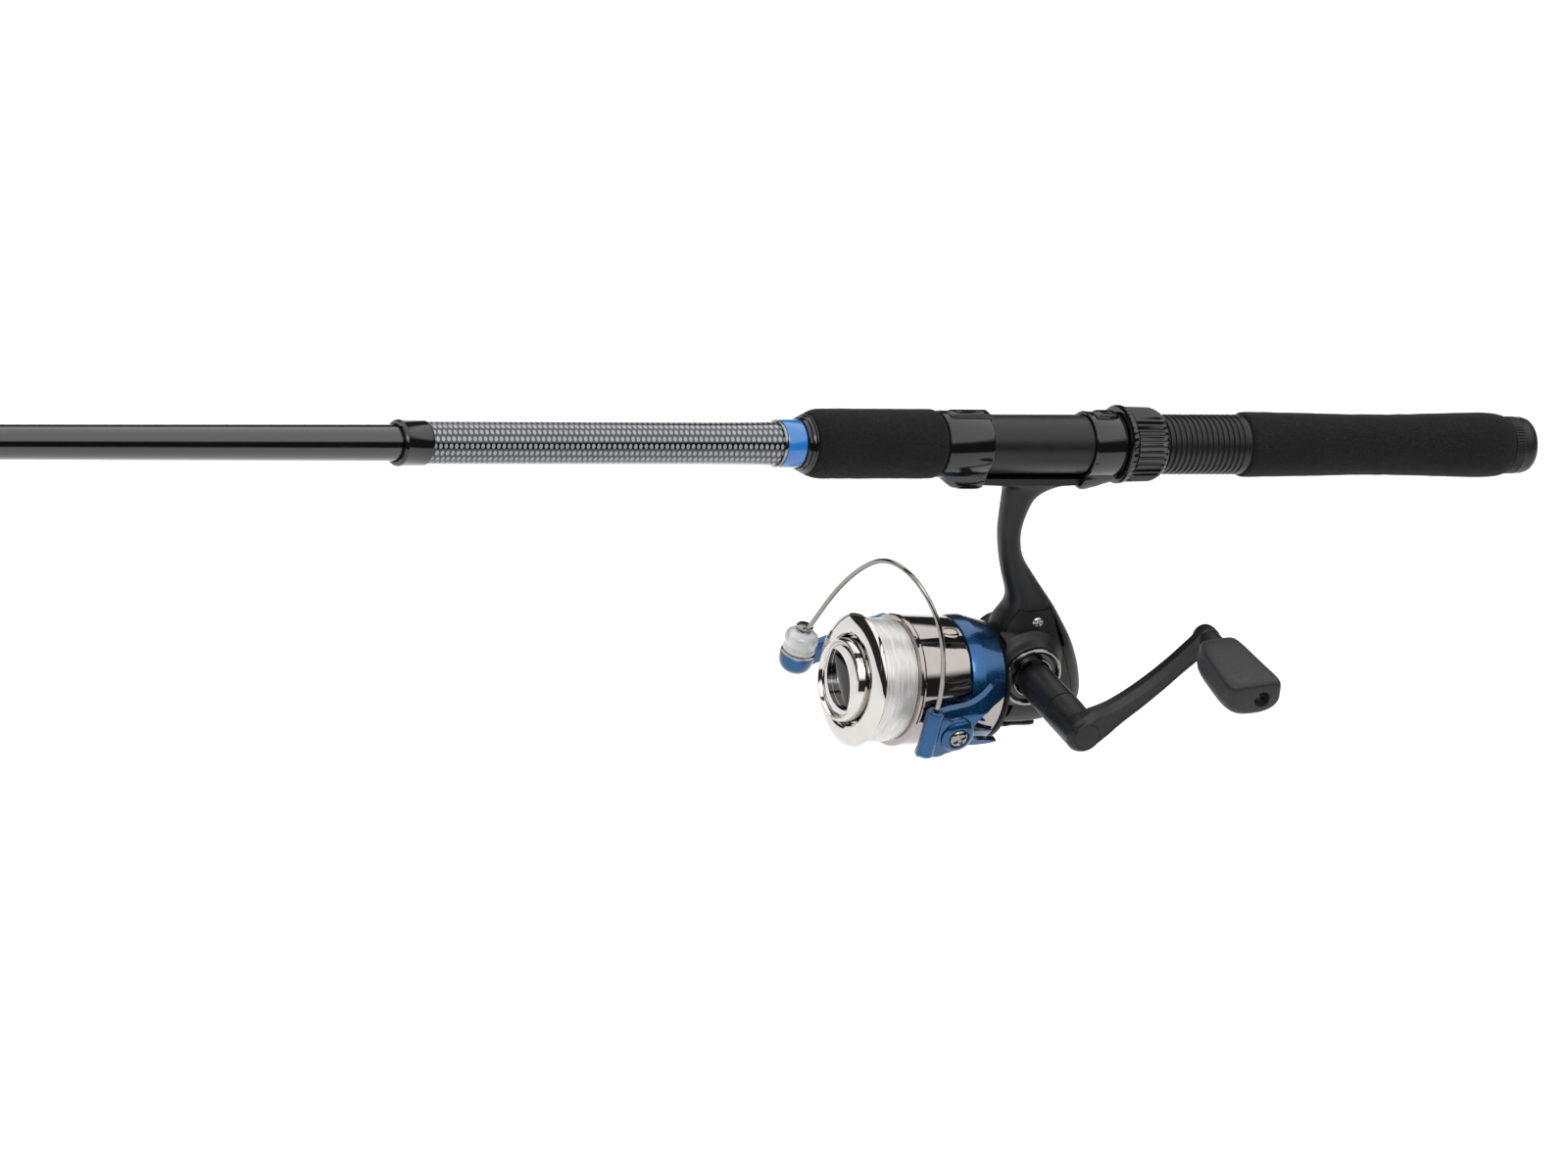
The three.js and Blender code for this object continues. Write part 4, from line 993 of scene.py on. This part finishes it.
def cross_screw(radius, height, centre, facing, turn_by=20, cross=0.55):
    """A pan-head screw with a cross recess; facing is -1 for the crank side."""
    head = turned(bmesh.new(), [
        (0, 0), (0, radius * 0.96), (height * 0.35, radius), (height * 0.7, radius * 0.9),
        (height, radius * 0.62), (height * 1.06, 0)], "Y", (0, 0, 0), 40)
    arms = cross * radius * 1.25
    slit = 0.17 * radius
    tool = None
    for flip in (False, True):
        points = [(-arms, -slit), (arms, -slit), (arms, slit), (-arms, slit)]
        points = [(b, a) for a, b in points][::-1] if flip else points
        blade = plate(bmesh.new(), points, "Y", height * 0.45, height * 2)
        tool = blade if tool is None else carved(tool, blade, "UNION")
    head = carved(head, tool)
    turn(head, turn_by, "Y", (0, 0, 0))
    if facing < 0:
        turn(head, 180, "Z", (0, 0, 0))
    bmesh.ops.translate(head, vec=centre, verts=head.verts)
    return head


def make_cover_screws(sizes):
    """The two screws that hold the gearbox's cover."""
    for number, seat in ((1, SCREW_1), (2, SCREW_2)):
        place(f"cover_screw_{number}_head", cross_screw(2.2, 1.1, seat, -1), FINISHES["steel"],
              "steel", [f"cover_screw_{number}"], crease=40)


# ---- rotor and bail ----
# X, then bottom, ridge and top of the arm's outer face as (Y, Z) from the spool's axis
ARM_SECTIONS = [
    (-0.8, (-26.6, -7.6), (-26.2, 5.0), (-18.8, 13.4)),
    (-4.0, (-27.4, -7.7), (-27.0, 5.8), (-20.2, 13.8)),
    (-7.5, (-28.0, -7.7), (-27.8, 6.4), (-22.4, 13.2)),
    (-11.5, (-28.6, -7.6), (-28.6, 6.5), (-25.2, 11.4)),
    (-17.0, (-29.0, -7.4), (-29.4, 5.6), (-27.4, 9.4)),
    (-22.5, (-29.4, -6.9), (-30.0, 5.2), (-28.2, 8.4)),
    (-27.5, (-29.6, -6.0), (-30.0, 4.8), (-28.6, 7.4)),
    (-31.4, (-29.6, -3.0), (-29.9, 3.6), (-28.9, 5.6)),
]
ARM_WINDOW = [(2, 8.4), (-4, 8.8), (-9.5, 6.8), (-13.6, 2.8), (-14.2, -1.0), (-11.8, -4.6),
              (-7, -5.7), (2, -6.0)]


def arm_window():
    """The opening cut through the near rotor arm."""
    window = smooth([Vector((x, z + SPOOL_AXIS.z)) for x, z in ARM_WINDOW], 6, closed=True)
    return plate(bmesh.new(), window, "Y", -40, -15)


def rotor_arm():
    """The crank side's rotor arm, level: a flared strap with a ridge and a window."""
    thick = 2.6
    outer = []
    for x, bottom, ridge, top in ARM_SECTIONS:
        low, mid, high = (Vector(p) for p in (bottom, ridge, top))
        belly = (low + mid) / 2 + Vector((-0.9, 0))
        face = smooth([low, belly, mid], 5) + [mid + (high - mid) * t for t in (0.35, 0.7, 1.0)]
        back = [p + Vector((thick, 0)) for p in reversed(face)]
        outer.append([Vector((x, p.x, p.y + SPOOL_AXIS.z)) for p in face + back])
    rows = [[ring[i] for ring in outer] for i in range(len(outer[0]))]
    rows = [smooth(row, 5) for row in rows]
    rings = [[row[k] for row in rows] for k in range(len(rows[0]))]
    arm = loft(bmesh.new(), rings)
    return carved(arm, arm_window())


def make_rotor(sizes):
    """The rotor cup with its two arms, the dark rear band and the pivot screws."""
    low, high, _ = cad("rotor_rear_band")
    cup = turned(bmesh.new(), [
        (-13.9, 3.6), (-13.9, 22.4), (-13.6, 23.0), (-13.0, 23.3), (-9.0, 23.8), (-8.6, 23.8),
        (-1.4, 22.2), (0.2, 21.9), (0.6, 21.6), (0.6, 21.2), (-10.6, 21.2), (-10.6, 3.6)],
        centre=SPOOL_AXIS, steps=120, ring=True)
    cup = carved(cup, arm_window())
    cup = carved(cup, turn(arm_window(), 180, "X", SPOOL_AXIS))
    near = rotor_arm()
    far = turn(rotor_arm(), 180, "X", SPOOL_AXIS)
    place("rotor_shell", tilt(added(cup, near, far)), FINISHES["blue"], "blue_metallic", ["rotor"],
          crease=24, bevel=0.45)
    band = turned(bmesh.new(), [
        (-10.3, 18.6), (-10.3, 20.7), (-10.0, 20.9), (high.x - 0.4, 20.9), (high.x, 20.6),
        (high.x, 18.6)], centre=SPOOL_AXIS, ring=True)
    place("rotor_rear_band_plating", band, FINISHES["smoked"], "dark_chrome", ["rotor_rear_band"])
    for name, side, pivot in (("near", -1, NEAR_PIVOT), ("far", 1, FAR_PIVOT)):
        level = SPOOL_AXIS + Vector((pivot.x, side * 34.0, 0))
        head = cross_screw(3.5, 1.9, level, side, 35, 0.6)
        shank = turned(bmesh.new(), [(side * 25, 0), (side * 25, 1.6), (side * 34.2, 1.6),
                                     (side * 34.2, 0)], "Y", (pivot.x, 0, SPOOL_AXIS.z), 32)
        place(f"{name}_pivot_screw_head", tilt(added(head, shank)), FINISHES["wire"], "steel",
              [f"{name}_pivot_screw"], crease=40)


BAIL_BOSS = (-33.3, -31.8)


def make_bail(sizes):
    """The two bail arms, the roller with its pin and washer, and the bent wire."""
    z0 = SPOOL_AXIS.z
    px = NEAR_PIVOT.x
    outline = [(px + 6.4, 0.6), (px + 4.8, 4.8), (px + 0.6, 7.0), (px - 4.0, 6.4), (-30.0, 6.8),
               (-32.0, 6.6), (-35.4, 4.0), (-36.0, -3), (-36.1, -9.0), (-33.2, -9.4), (-27.5, -9.6),
               (px - 1.4, -7.9), (px + 3.4, -5.9), (px + 5.9, -2.9)]
    arm = plate(bmesh.new(), smooth([Vector((x, z + z0)) for x, z in outline], 5, closed=True),
                "Y", -33.4, -30.9)
    soften(arm, 0.5, 3, 50)
    hub = turned(bmesh.new(), [
        (-33.0, 0), (-33.0, 6.5), (-34.0, 6.3), (-34.7, 5.6), (-35.1, 4.6), (-35.0, 4.0),
        (-34.3, 3.75), (-34.2, 0)], "Y", (px, 0, z0), 64)
    arm = tilt(added(arm, hub))
    boss = turned(bmesh.new(), [
        (-109.6, 0), (-109.6, 2.6), (-109.0, 3.2), (-92.4, 3.3), (-91.8, 3.1), (-91.4, 2.6),
        (-91.4, 1.3), (-94, 1.2), (-94, 0)], "Z", (*BAIL_BOSS, 0), 48)
    place("near_bail_arm_casting", added(arm, boss), FINISHES["blue"], "blue_metallic",
          ["near_bail_arm"], crease=30)

    x, y = ROLLER.x, ROLLER.y
    strap = [(px + 5.8, -0.5), (px + 3.2, 3.4), (px - 2, 4.2), (-34, 0.8), (-44, -5.2), (-53, -9.5),
             (-56.6, -13.5), (-55, -17.2), (-50.5, -18.6), (-42, -14.6), (-32, -9.4), (px - 1, -6.6),
             (px + 4.6, -4.6)]
    strap = plate(bmesh.new(), smooth([Vector((a, b + z0)) for a, b in strap], 5, closed=True),
                  "Y", 30.9, 33.6)
    strap = tilt(soften(strap, 0.5, 3, 50))
    bowl = turned(bmesh.new(), [
        (-111.4, 0), (-111.2, 2.2), (-110.4, 4.2), (-109.0, 5.5), (-107.2, 6.1), (-105.4, 6.35),
        (-104.3, 6.35), (-104.1, 6.2), (-104.4, 6.0), (-105.4, 5.6), (-105.6, 0)],
        "Z", (x, y, 0), 64)
    pin = turned(bmesh.new(), [(-106, 0), (-106, 1.8), (-94.2, 1.8), (-94.1, 2.9), (-92.9, 3.1),
                               (-92.4, 2.6), (-92.2, 0)], "Z", (x, y, 0), 40)
    place("far_bail_arm_casting", added(strap, bowl), FINISHES["blue"], "blue_metallic",
          ["far_bail_arm"], crease=30)
    place("roller_pin", pin, FINISHES["wire"], "steel", body="bail")
    ring = turned(bmesh.new(), [
        (-105.0, 1.9), (-105.0, 5.5), (-104.2, 6.2), (-103.4, 6.25), (-103.2, 5.9), (-103.4, 1.9)],
        "Z", (x, y, 0), 64, ring=True)
    place("roller_washer_bright", ring, FINISHES["wire"], "steel", body="bail")
    barrel = turned(bmesh.new(), [tuple(p) for p in smooth([
        (-103.1, 2.1), (-103.1, 5.2), (-102.8, 5.8), (-101.6, 6.0), (-100.6, 5.75), (-99.8, 5.9),
        (-98.2, 6.25), (-96.8, 6.1), (-95.6, 5.2), (-94.9, 3.8), (-94.7, 2.1)], 4)],
        "Z", (x, y, 0), 72, ring=True)
    place("line_roller_barrel", barrel, FINISHES["milky"], "clear_plastic", ["line_roller"])

    route = [(-54.6, 31.2, -93.2), (-54.4, 29.4, -90.8), (-52.8, 20, -68.5), (-51, 3, -48.6),
             (-46.5, -14, -46.4), (-39.5, -25, -56.7), (-35.5, -30, -70), (-33.4, -31.8, -84),
             (-33.3, -31.8, -94)]
    bow = [Vector(p) for p in smooth(route, 12)]
    for _ in range(24):  # springs the bend points out of the curve
        bow[2:-8] = [(a + b + b + c) / 4 for a, b, c in zip(bow[1:], bow[2:-8], bow[3:])]
    wire = swept(bmesh.new(), bow, sizes.wire_radius / MM, 14)
    place("bail_wire_bow", wire, FINISHES["wire"], "steel", ["bail_wire"])


# ---- spool and drag ----
def make_spool(sizes):
    """The skirted spool, its line clip and the line wound on it."""
    lip = sizes.lip_radius / MM
    profile = [
        (-43.8, 10.2), (-49.6, 10.2), (-49.6, 15.5), (-50.6, 15.8), (-51.8, 16.2), (-52.6, 16.8),
        (-53.0, 17.6), (-53.0, 18.6), (-52.75, 19.8), (-52.35, 21.0), (-51.85, lip - 1.9),
        (-51.35, lip - 1.0), (-50.85, lip - 0.35), (-50.4, lip - 0.05), (-50.0, lip),
        (-49.7, lip - 0.2), (-49.55, lip - 0.8), (-49.5, 18.6), (-35.5, 18.6)]
    front = turned(bmesh.new(), profile + [(-35.5, 2.4), (-43.8, 2.4)], centre=SPOOL_AXIS,
                   steps=144, ring=True)
    place("spool_lip_plating", front, FINISHES["chrome"], "chrome_plate", ["spool"], crease=25)
    skirt = turned(bmesh.new(), [
        (-35.4, 18.7), (-35.4, 22.6), (-35.1, 23.3), (-34.5, 23.75), (-33.9, 23.8), (-33.4, 23.5),
        (-33.1, 23.35), (-15.2, 23.35), (-14.7, 23.2), (-14.5, 22.8), (-14.5, 22.4), (-33.5, 22.4),
        (-33.5, 3.4), (-35.4, 3.4)], centre=SPOOL_AXIS, steps=144, ring=True)
    place("spool_skirt_plating", skirt, FINISHES["smoked"], "dark_chrome", body="spool_body",
          crease=25)
    clip_angle = math.radians(105.5)
    out = Vector((0, math.cos(clip_angle), math.sin(clip_angle)))
    base = SPOOL_AXIS + out * 23.1 + Vector((-19.5, 0, 0))
    along, round_it = Vector((1, 0, 0)), Vector((1, 0, 0)).cross(out)
    clip = loft(bmesh.new(), [
        oval(base + out * h, 3.4 * k, 2.4 * k, along, round_it, 40, 2.3)
        for h, k in ((0, 1.0), (0.45, 1.0), (0.75, 0.86), (0.85, 0.6), (0.86, 0.1))])
    place("line_clip", clip, FINISHES["smoked"], "dark_chrome", body="spool_body", crease=40)
    crown = [tuple(p) for p in smooth([(-49.35, 21.6), (-46, 22.15), (-42.4, 22.3),
                                       (-38.8, 22.15), (-35.6, 21.7)], 10)]
    line = turned(bmesh.new(), [(-49.35, 18.8), *crown, (-35.6, 18.8)], centre=SPOOL_AXIS,
                  steps=144, ring=True)
    place("line_winding_nylon", line, FINISHES["line"], "line", ["line_winding"], crease=50)


EYE_TURN = 37.5  # degrees that the drag knob's dial slot leans from level


def lens(length, width, low, high, z0):
    """A pointed oval: where two large circles cross."""
    half, side = length / 2, width / 2
    radius = (half * half + side * side) / (2 * side)
    reach = math.asin(half / radius)
    points = []
    for sign in (1, -1):
        for i in range(16):
            a = (-1 + i / 8) * reach
            points.append((sign * radius * math.sin(a), sign * (radius * math.cos(a) - radius + side)))
    bm = plate(bmesh.new(), points, "X", low, high)
    turn(bm, EYE_TURN, "X", (0, 0, 0))
    bmesh.ops.translate(bm, vec=(0, 0, z0), verts=bm.verts)
    return bm


def make_drag_knob(sizes):
    """The plated knob in front of the spool."""
    z0 = SPOOL_AXIS.z
    knob = turned(bmesh.new(), [
        (-56.6, 0), (-56.5, 5), (-56.2, 9), (-55.75, 11.8), (-55.3, 12.7), (-55.0, 13.0),
        (-55.2, 13.3), (-56.0, 13.6), (-56.5, 13.95), (-56.6, 14.3), (-56.35, 14.75),
        (-55.8, 15.0), (-52.2, 15.2), (-51.0, 15.2), (-50.6, 14.8), (-50.6, 9.8), (-48, 9.8),
        (-48, 0)], centre=SPOOL_AXIS, steps=144)
    knob = carved(knob, lens(24.4, 15.6, -60, -54.3, z0))
    place("drag_knob_plating", knob, FINISHES["chrome"], "chrome_plate", ["drag_knob"], crease=25,
          bevel=0.25)
    dial = lens(24.0, 15.2, -54.35, -54.0, z0)
    fin = loft(bmesh.new(), [
        oval((x, 0, 0), 11.0 * k, 5.2 * w, (0, 1, 0), (0, 0, 1), 40, 2.0)
        for x, k, w in ((-54.2, 1, 1), (-54.6, 0.98, 0.8), (-55.1, 0.94, 0.42), (-55.4, 0.9, 0.1))])
    turn(fin, EYE_TURN, "X", (0, 0, 0))
    bmesh.ops.translate(fin, vec=(0, 0, z0), verts=fin.verts)
    place("drag_knob_dial", added(dial, fin), FINISHES["gloss"], "satin_black",
          body=frame["nodes"]["drag_knob"]["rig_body"])


# ---- crank ----
def make_crank_sleeve(sizes):
    """The sleeve that carries the crank on the reel's shaft."""
    radius = sizes.sleeve_radius / MM
    low, high, _ = cad("crank_sleeve")
    step = -41.2
    sleeve = turned(bmesh.new(), [
        (high.y, 0), (high.y, 5.2), (-17.7, 5.9), (-18.4, radius - 0.45), (-19.6, radius - 0.1),
        (-26, radius), (step + 0.7, radius + 0.15), (step + 0.5, radius - 0.25),
        (step, radius - 0.25), (step - 0.2, radius + 0.2), (-50, radius + 0.1),
        (low.y - 2.5, radius), (low.y - 2.5, 0)], "Y", CRANK, 80)
    groove = plate(bmesh.new(), [(-0.22, radius - 0.3), (0.22, radius - 0.3), (0.22, radius + 1),
                                 (-0.22, radius + 1)], "Y", -40.4, -22)
    turn(groove, 12, "Y", (0, 0, 0))
    bmesh.ops.translate(groove, vec=CRANK, verts=groove.verts)
    place("crank_sleeve_moulding", carved(sleeve, groove), FINISHES["satin"], "satin_black",
          ["crank_sleeve"], crease=30)


def make_crank_arm(sizes):
    """The bent arm from the sleeve out to the knob."""
    run = KNOB - CRANK
    along = Vector((run.x, run.z)).normalized()
    left = Vector((-along.y, along.x))
    length = Vector((run.x, run.z)).length
    base = Vector((CRANK.x, CRANK.z))
    stations = [(0.12, 6.4, -0.2), (0.24, 4.9, -1.1), (0.4, 4.2, -1.7), (0.58, 3.8, -1.6),
                (0.75, 3.6, -0.9), (0.9, 3.9, -0.2)]

    def edge(side, shrink=0.0):
        return [base + along * (length * t) + left * (bow + side * (half - shrink))
                for t, half, bow in stations]

    def around(middle, radius, first, last, count):
        heading = math.atan2(along.y, along.x)
        return [middle + Vector((math.cos(heading + a), math.sin(heading + a))) * radius
                for a in [math.radians(first + (last - first) * i / count) for i in range(count + 1)]]

    def ring_of(shrink):
        tip = base + along * length
        return (around(base, 6.9 - shrink, 100, 260, 14) + smooth(edge(-1, shrink), 4)
                + around(tip, 4.7 - shrink, -80, 80, 12) + list(reversed(smooth(edge(1, shrink), 4))))

    levels = [(-54.8, 1.0), (-55.4, 0.2), (-56.4, 0.0), (-58.8, 0.0), (-61.0, 1.5),
              (-61.35, 1.75), (-61.0, 2.0)]
    rings = [[Vector((p.x, y, p.y)) for p in ring_of(shrink)] for y, shrink in levels]
    arm = loft(bmesh.new(), rings)
    boss = turned(bmesh.new(), [
        (-53.6, 0), (-53.6, 3.4), (-54.0, 4.1), (-54.8, 4.4), (-64.6, 4.4), (-66.0, 4.2),
        (-66.0, 0)], "Y", KNOB, 56)
    hub = turned(bmesh.new(), [
        (-53.9, 0), (-53.9, 6.7), (-54.4, 6.95), (-59.0, 6.9), (-60.4, 6.1), (-61.2, 4.8),
        (-61.4, 0)], "Y", CRANK, 64)
    place("crank_arm_casting", added(arm, boss, hub), FINISHES["satin"], "satin_black",
          ["crank_arm"], crease=28)


def make_knob(sizes):
    """The paddle that the fingers hold."""
    low, high, _ = cad("crank_knob")
    # Y, then left, right, top and bottom of the section measured from the pin; the knob's lean is set after
    # the loft
    stations = [
        (high.y, -4.2, 3.6, 4.6, -4.2), (high.y - 0.9, -7.8, 4.9, 6.2, -5.6),
        (high.y - 3.4, -10.4, 5.5, 7.2, -6.3), (-76, -12.0, 6.0, 7.6, -6.7),
        (-84, -13.0, 6.6, 7.6, -6.9), (-93, -13.8, 7.4, 7.5, -6.9),
        (-98, -13.8, 7.9, 7.3, -6.5), (low.y + 1.4, -13.0, 7.7, 6.9, -6.0),
        (low.y + 0.3, -11.4, 6.9, 6.0, -5.1), (low.y, -10.4, 6.3, 5.4, -4.5)]
    rings = []
    for y, left, right, top, bottom in [tuple(p) for p in knob_rows(stations)]:
        middle, half = (left + right) / 2, (right - left) / 2
        ring = []
        for i in range(64):
            a = 2 * math.pi * i / 64
            c, s = math.cos(a), math.sin(a)
            if s > 0:  # flat crown with tight shoulders
                x = math.copysign(abs(c) ** 0.4, c) * half
                z = top * abs(s) ** 0.3
            else:
                x = math.copysign(abs(c) ** 0.8, c) * half
                z = bottom * abs(s) ** 0.95
            ring.append(Vector((middle + x, y, z)))
        rings.append(ring)
    knob = loft(bmesh.new(), rings)
    turn(knob, -8, "Y", (0, 0, 0))
    bore = turned(bmesh.new(), [(low.y - 3, 0), (low.y - 3, 3.0), (low.y + 5.5, 3.0),
                                (low.y + 5.6, 2.2), (high.y + 3, 2.2), (high.y + 3, 0)], "Y",
                  (0, 0, 0), 48)
    knob = carved(knob, bore)
    bmesh.ops.translate(knob, vec=KNOB, verts=knob.verts)
    place("crank_knob_paddle", knob, FINISHES["soft_black"], "knob_black", ["crank_knob"],
          crease=50, bevel=0.3)


def knob_rows(stations):
    """The knob's sections, eased so that its flat runs smoothly from end to end."""
    pairs = smooth([Vector(row[:4]) for row in stations], 3)
    bottoms = smooth([Vector((row[4], 0)) for row in stations], 3)
    return [(*pair, bottom.x) for pair, bottom in zip(pairs, bottoms)]


# ---- what stays as the CAD has it ----
KEPT = {
    "crank_bearing": "steel", "pinion_bearing": "steel", "crank_shaft": "steel",
    "drive_gear": "zinc", "oscillation_gear": "brass", "rotor_nut": "brass",
    "pinion_gear": "brass", "main_shaft": "steel", "oscillation_slider": "zinc",
    "drag_washer_1": "felt", "drag_washer_2": "felt", "knob_pin": "steel",
}


def finish_kept_nodes():
    """Gives the CAD nodes that stay visible their finishes."""
    for node, finish in KEPT.items():
        data = frame["nodes"][node].data
        data.materials.clear()
        data.materials.append(FINISHES[finish])


# ---- stage ----
def studio_floor():
    """A plain pale floor well under the rod."""
    made, tree, shader, where = new_finish("floor_paper_matt")
    fibre = add_node(tree, "ShaderNodeTexNoise", {"Vector": where, "Scale": across(30)})
    set_values(tree, shader, {"Roughness": 0.9, "Base Color": add_node(tree, "ShaderNodeMix", {
        "data_type": "RGBA", 0: fibre, 6: (*linear("#f6f6f6"), 1), 7: (*linear("#fbfbfb"), 1)})})
    bm = bmesh.new()
    bmesh.ops.create_grid(bm, x_segments=8, y_segments=8, size=14)
    bmesh.ops.translate(bm, vec=(0, 0, -0.55), verts=bm.verts)
    mesh = bpy.data.meshes.new("studio_floor")
    bm.to_mesh(mesh)
    bm.free()
    mesh.materials.append(made)
    floor = bpy.data.objects.new("studio_floor", mesh)
    bpy.context.scene.collection.objects.link(floor)


def studio_sky():
    """Pale light from above that stops well over the horizon, so plating has a dark band."""
    world = bpy.data.worlds.new("studio")
    world.use_nodes = True
    tree = world.node_tree
    background = tree.nodes["Background"]
    where = add_node(tree, "ShaderNodeTexCoord").outputs["Generated"]
    height = add_node(tree, "ShaderNodeSeparateXYZ", {0: where}).outputs["Z"]
    set_values(tree, background, {"Color": (1, 1, 1, 1), "Strength": add_node(
        tree, "ShaderNodeMapRange", {"interpolation_type": "SMOOTHSTEP", 0: height,
                                     1: 0.42, 2: 0.58, 3: 0.03, 4: 1.6})})
    bpy.context.scene.world = world


def softbox(name, location, target, size, power):
    """A soft rectangular lamp aimed at a point."""
    data = bpy.data.lights.new(name, "AREA")
    data.shape, data.size, data.size_y, data.energy = "RECTANGLE", size[0], size[1], power
    made = bpy.data.objects.new(name, data)
    made.location = location
    made.rotation_euler = (Vector(target) - Vector(location)).to_track_quat("-Z", "Y").to_euler()
    bpy.context.scene.collection.objects.link(made)


def camera():
    """A very long lens, because the rod is seen almost without perspective."""
    data = bpy.data.cameras.new("camera")
    data.sensor_width, data.lens = 36, 1000
    data.clip_start, data.clip_end = 1, 60
    made = bpy.data.objects.new("camera", data)
    right, up = Vector((0.8660, -0.4366, 0.2442)), Vector((0.0, 0.4882, 0.8728))
    back = right.cross(up).normalized()
    turned_to = Matrix((right, up, back)).transposed()
    made.matrix_world = Matrix.Translation(
        Vector((-89.2, 0, -58.9)) * MM + back * 15.54) @ turned_to.to_4x4()
    bpy.context.scene.collection.objects.link(made)
    bpy.context.scene.camera = made


# ---- operators ----
class StageOperator(bpy.types.Operator):
    """Make the floor, the lights and the camera"""

    bl_idname = "rod.make_stage"
    bl_label = "Stage"

    def execute(self, context):
        camera()
        studio_floor()
        studio_sky()
        softbox("key_softbox", (-1.0, -1.9, 2.4), (0, 0, -0.05), (1.6, 1.0), 26)
        context.scene.view_settings.view_transform = "Standard"
        make_finishes(context.scene)
        finish_kept_nodes()
        return {"FINISHED"}


def maker(idname, label, text, build, group):
    """An operator class for one piece or group of like pieces."""

    def execute(self, context):
        build(getattr(context.scene, group))
        return {"FINISHED"}

    title = "".join(part.capitalize() for part in idname.split("_"))
    return type(f"ROD_OT_{title}", (bpy.types.Operator,), {
        "__doc__": text, "bl_idname": f"rod.make_{idname}", "bl_label": label, "execute": execute,
    })


MAKERS = [
    maker("blank", "Blank", "Make the butt blank, collar, ring, band and check", make_blank, "rod_sizes"),
    maker("grips", "Grips", "Make the two foam grips and the butt cap", make_grips, "rod_sizes"),
    maker("seat", "Reel seat", "Make the seat's barrel, thread and fixed hood", make_seat, "rod_sizes"),
    maker("hood", "Sliding hood", "Make the sliding hood", make_sliding_hood, "rod_sizes"),
    maker("nut", "Lock nut", "Make the ribbed locking nut", make_lock_nut, "rod_sizes"),
    maker("sections", "Sections", "Make the four telescopic sections", make_sections, "rod_sizes"),
    maker("guides", "Guides", "Make the line guides and their rings", make_guides, "rod_sizes"),
    maker("body", "Reel body", "Make the reel's body, cover, collar, cap and lever", make_body, "reel_sizes"),
    maker("screws", "Cover screws", "Make the cover's two screws", make_cover_screws, "reel_sizes"),
    maker("rotor", "Rotor", "Make the rotor, its rear band and pivot screws", make_rotor, "reel_sizes"),
    maker("bail", "Bail", "Make the bail's arms, roller and wire", make_bail, "reel_sizes"),
    maker("spool", "Spool", "Make the spool, its skirt, line clip and wound line", make_spool, "reel_sizes"),
    maker("drag", "Drag knob", "Make the front drag knob and its dial", make_drag_knob, "reel_sizes"),
    maker("sleeve", "Crank sleeve", "Make the sleeve on the crank's shaft", make_crank_sleeve, "reel_sizes"),
    maker("arm", "Crank arm", "Make the folding crank arm", make_crank_arm, "reel_sizes"),
    maker("knob", "Crank knob", "Make the crank's knob", make_knob, "reel_sizes"),
]


class RodPanel(bpy.types.Panel):
    """Lists the sizes and the makers"""

    bl_idname = "VIEW3D_PT_rod_and_reel"
    bl_label = "Rod and reel"
    bl_space_type = "VIEW_3D"
    bl_region_type = "UI"
    bl_category = "Rod and reel"

    def draw(self, context):
        for group in ("rod_sizes", "reel_sizes", "rod_colours"):
            owner = getattr(context.scene, group)
            for name in owner.__annotations__:
                self.layout.prop(owner, name)
        for made in (StageOperator, *MAKERS):
            self.layout.operator(made.bl_idname)


GROUPS = {"rod_sizes": RodSizes, "reel_sizes": ReelSizes, "rod_colours": RodColours}
CLASSES = (*GROUPS.values(), StageOperator, *MAKERS, RodPanel)


def register():
    for made in CLASSES:
        bpy.utils.register_class(made)
    for name, group in GROUPS.items():
        setattr(bpy.types.Scene, name, PointerProperty(type=group))


def unregister():
    for name in GROUPS:
        delattr(bpy.types.Scene, name)
    for made in reversed(CLASSES):
        bpy.utils.unregister_class(made)


def main():
    register()
    for made in (StageOperator, *MAKERS):
        name = made.bl_idname.split(".")[1]
        getattr(bpy.ops.rod, name)()


if __name__ == "__main__":
    main()
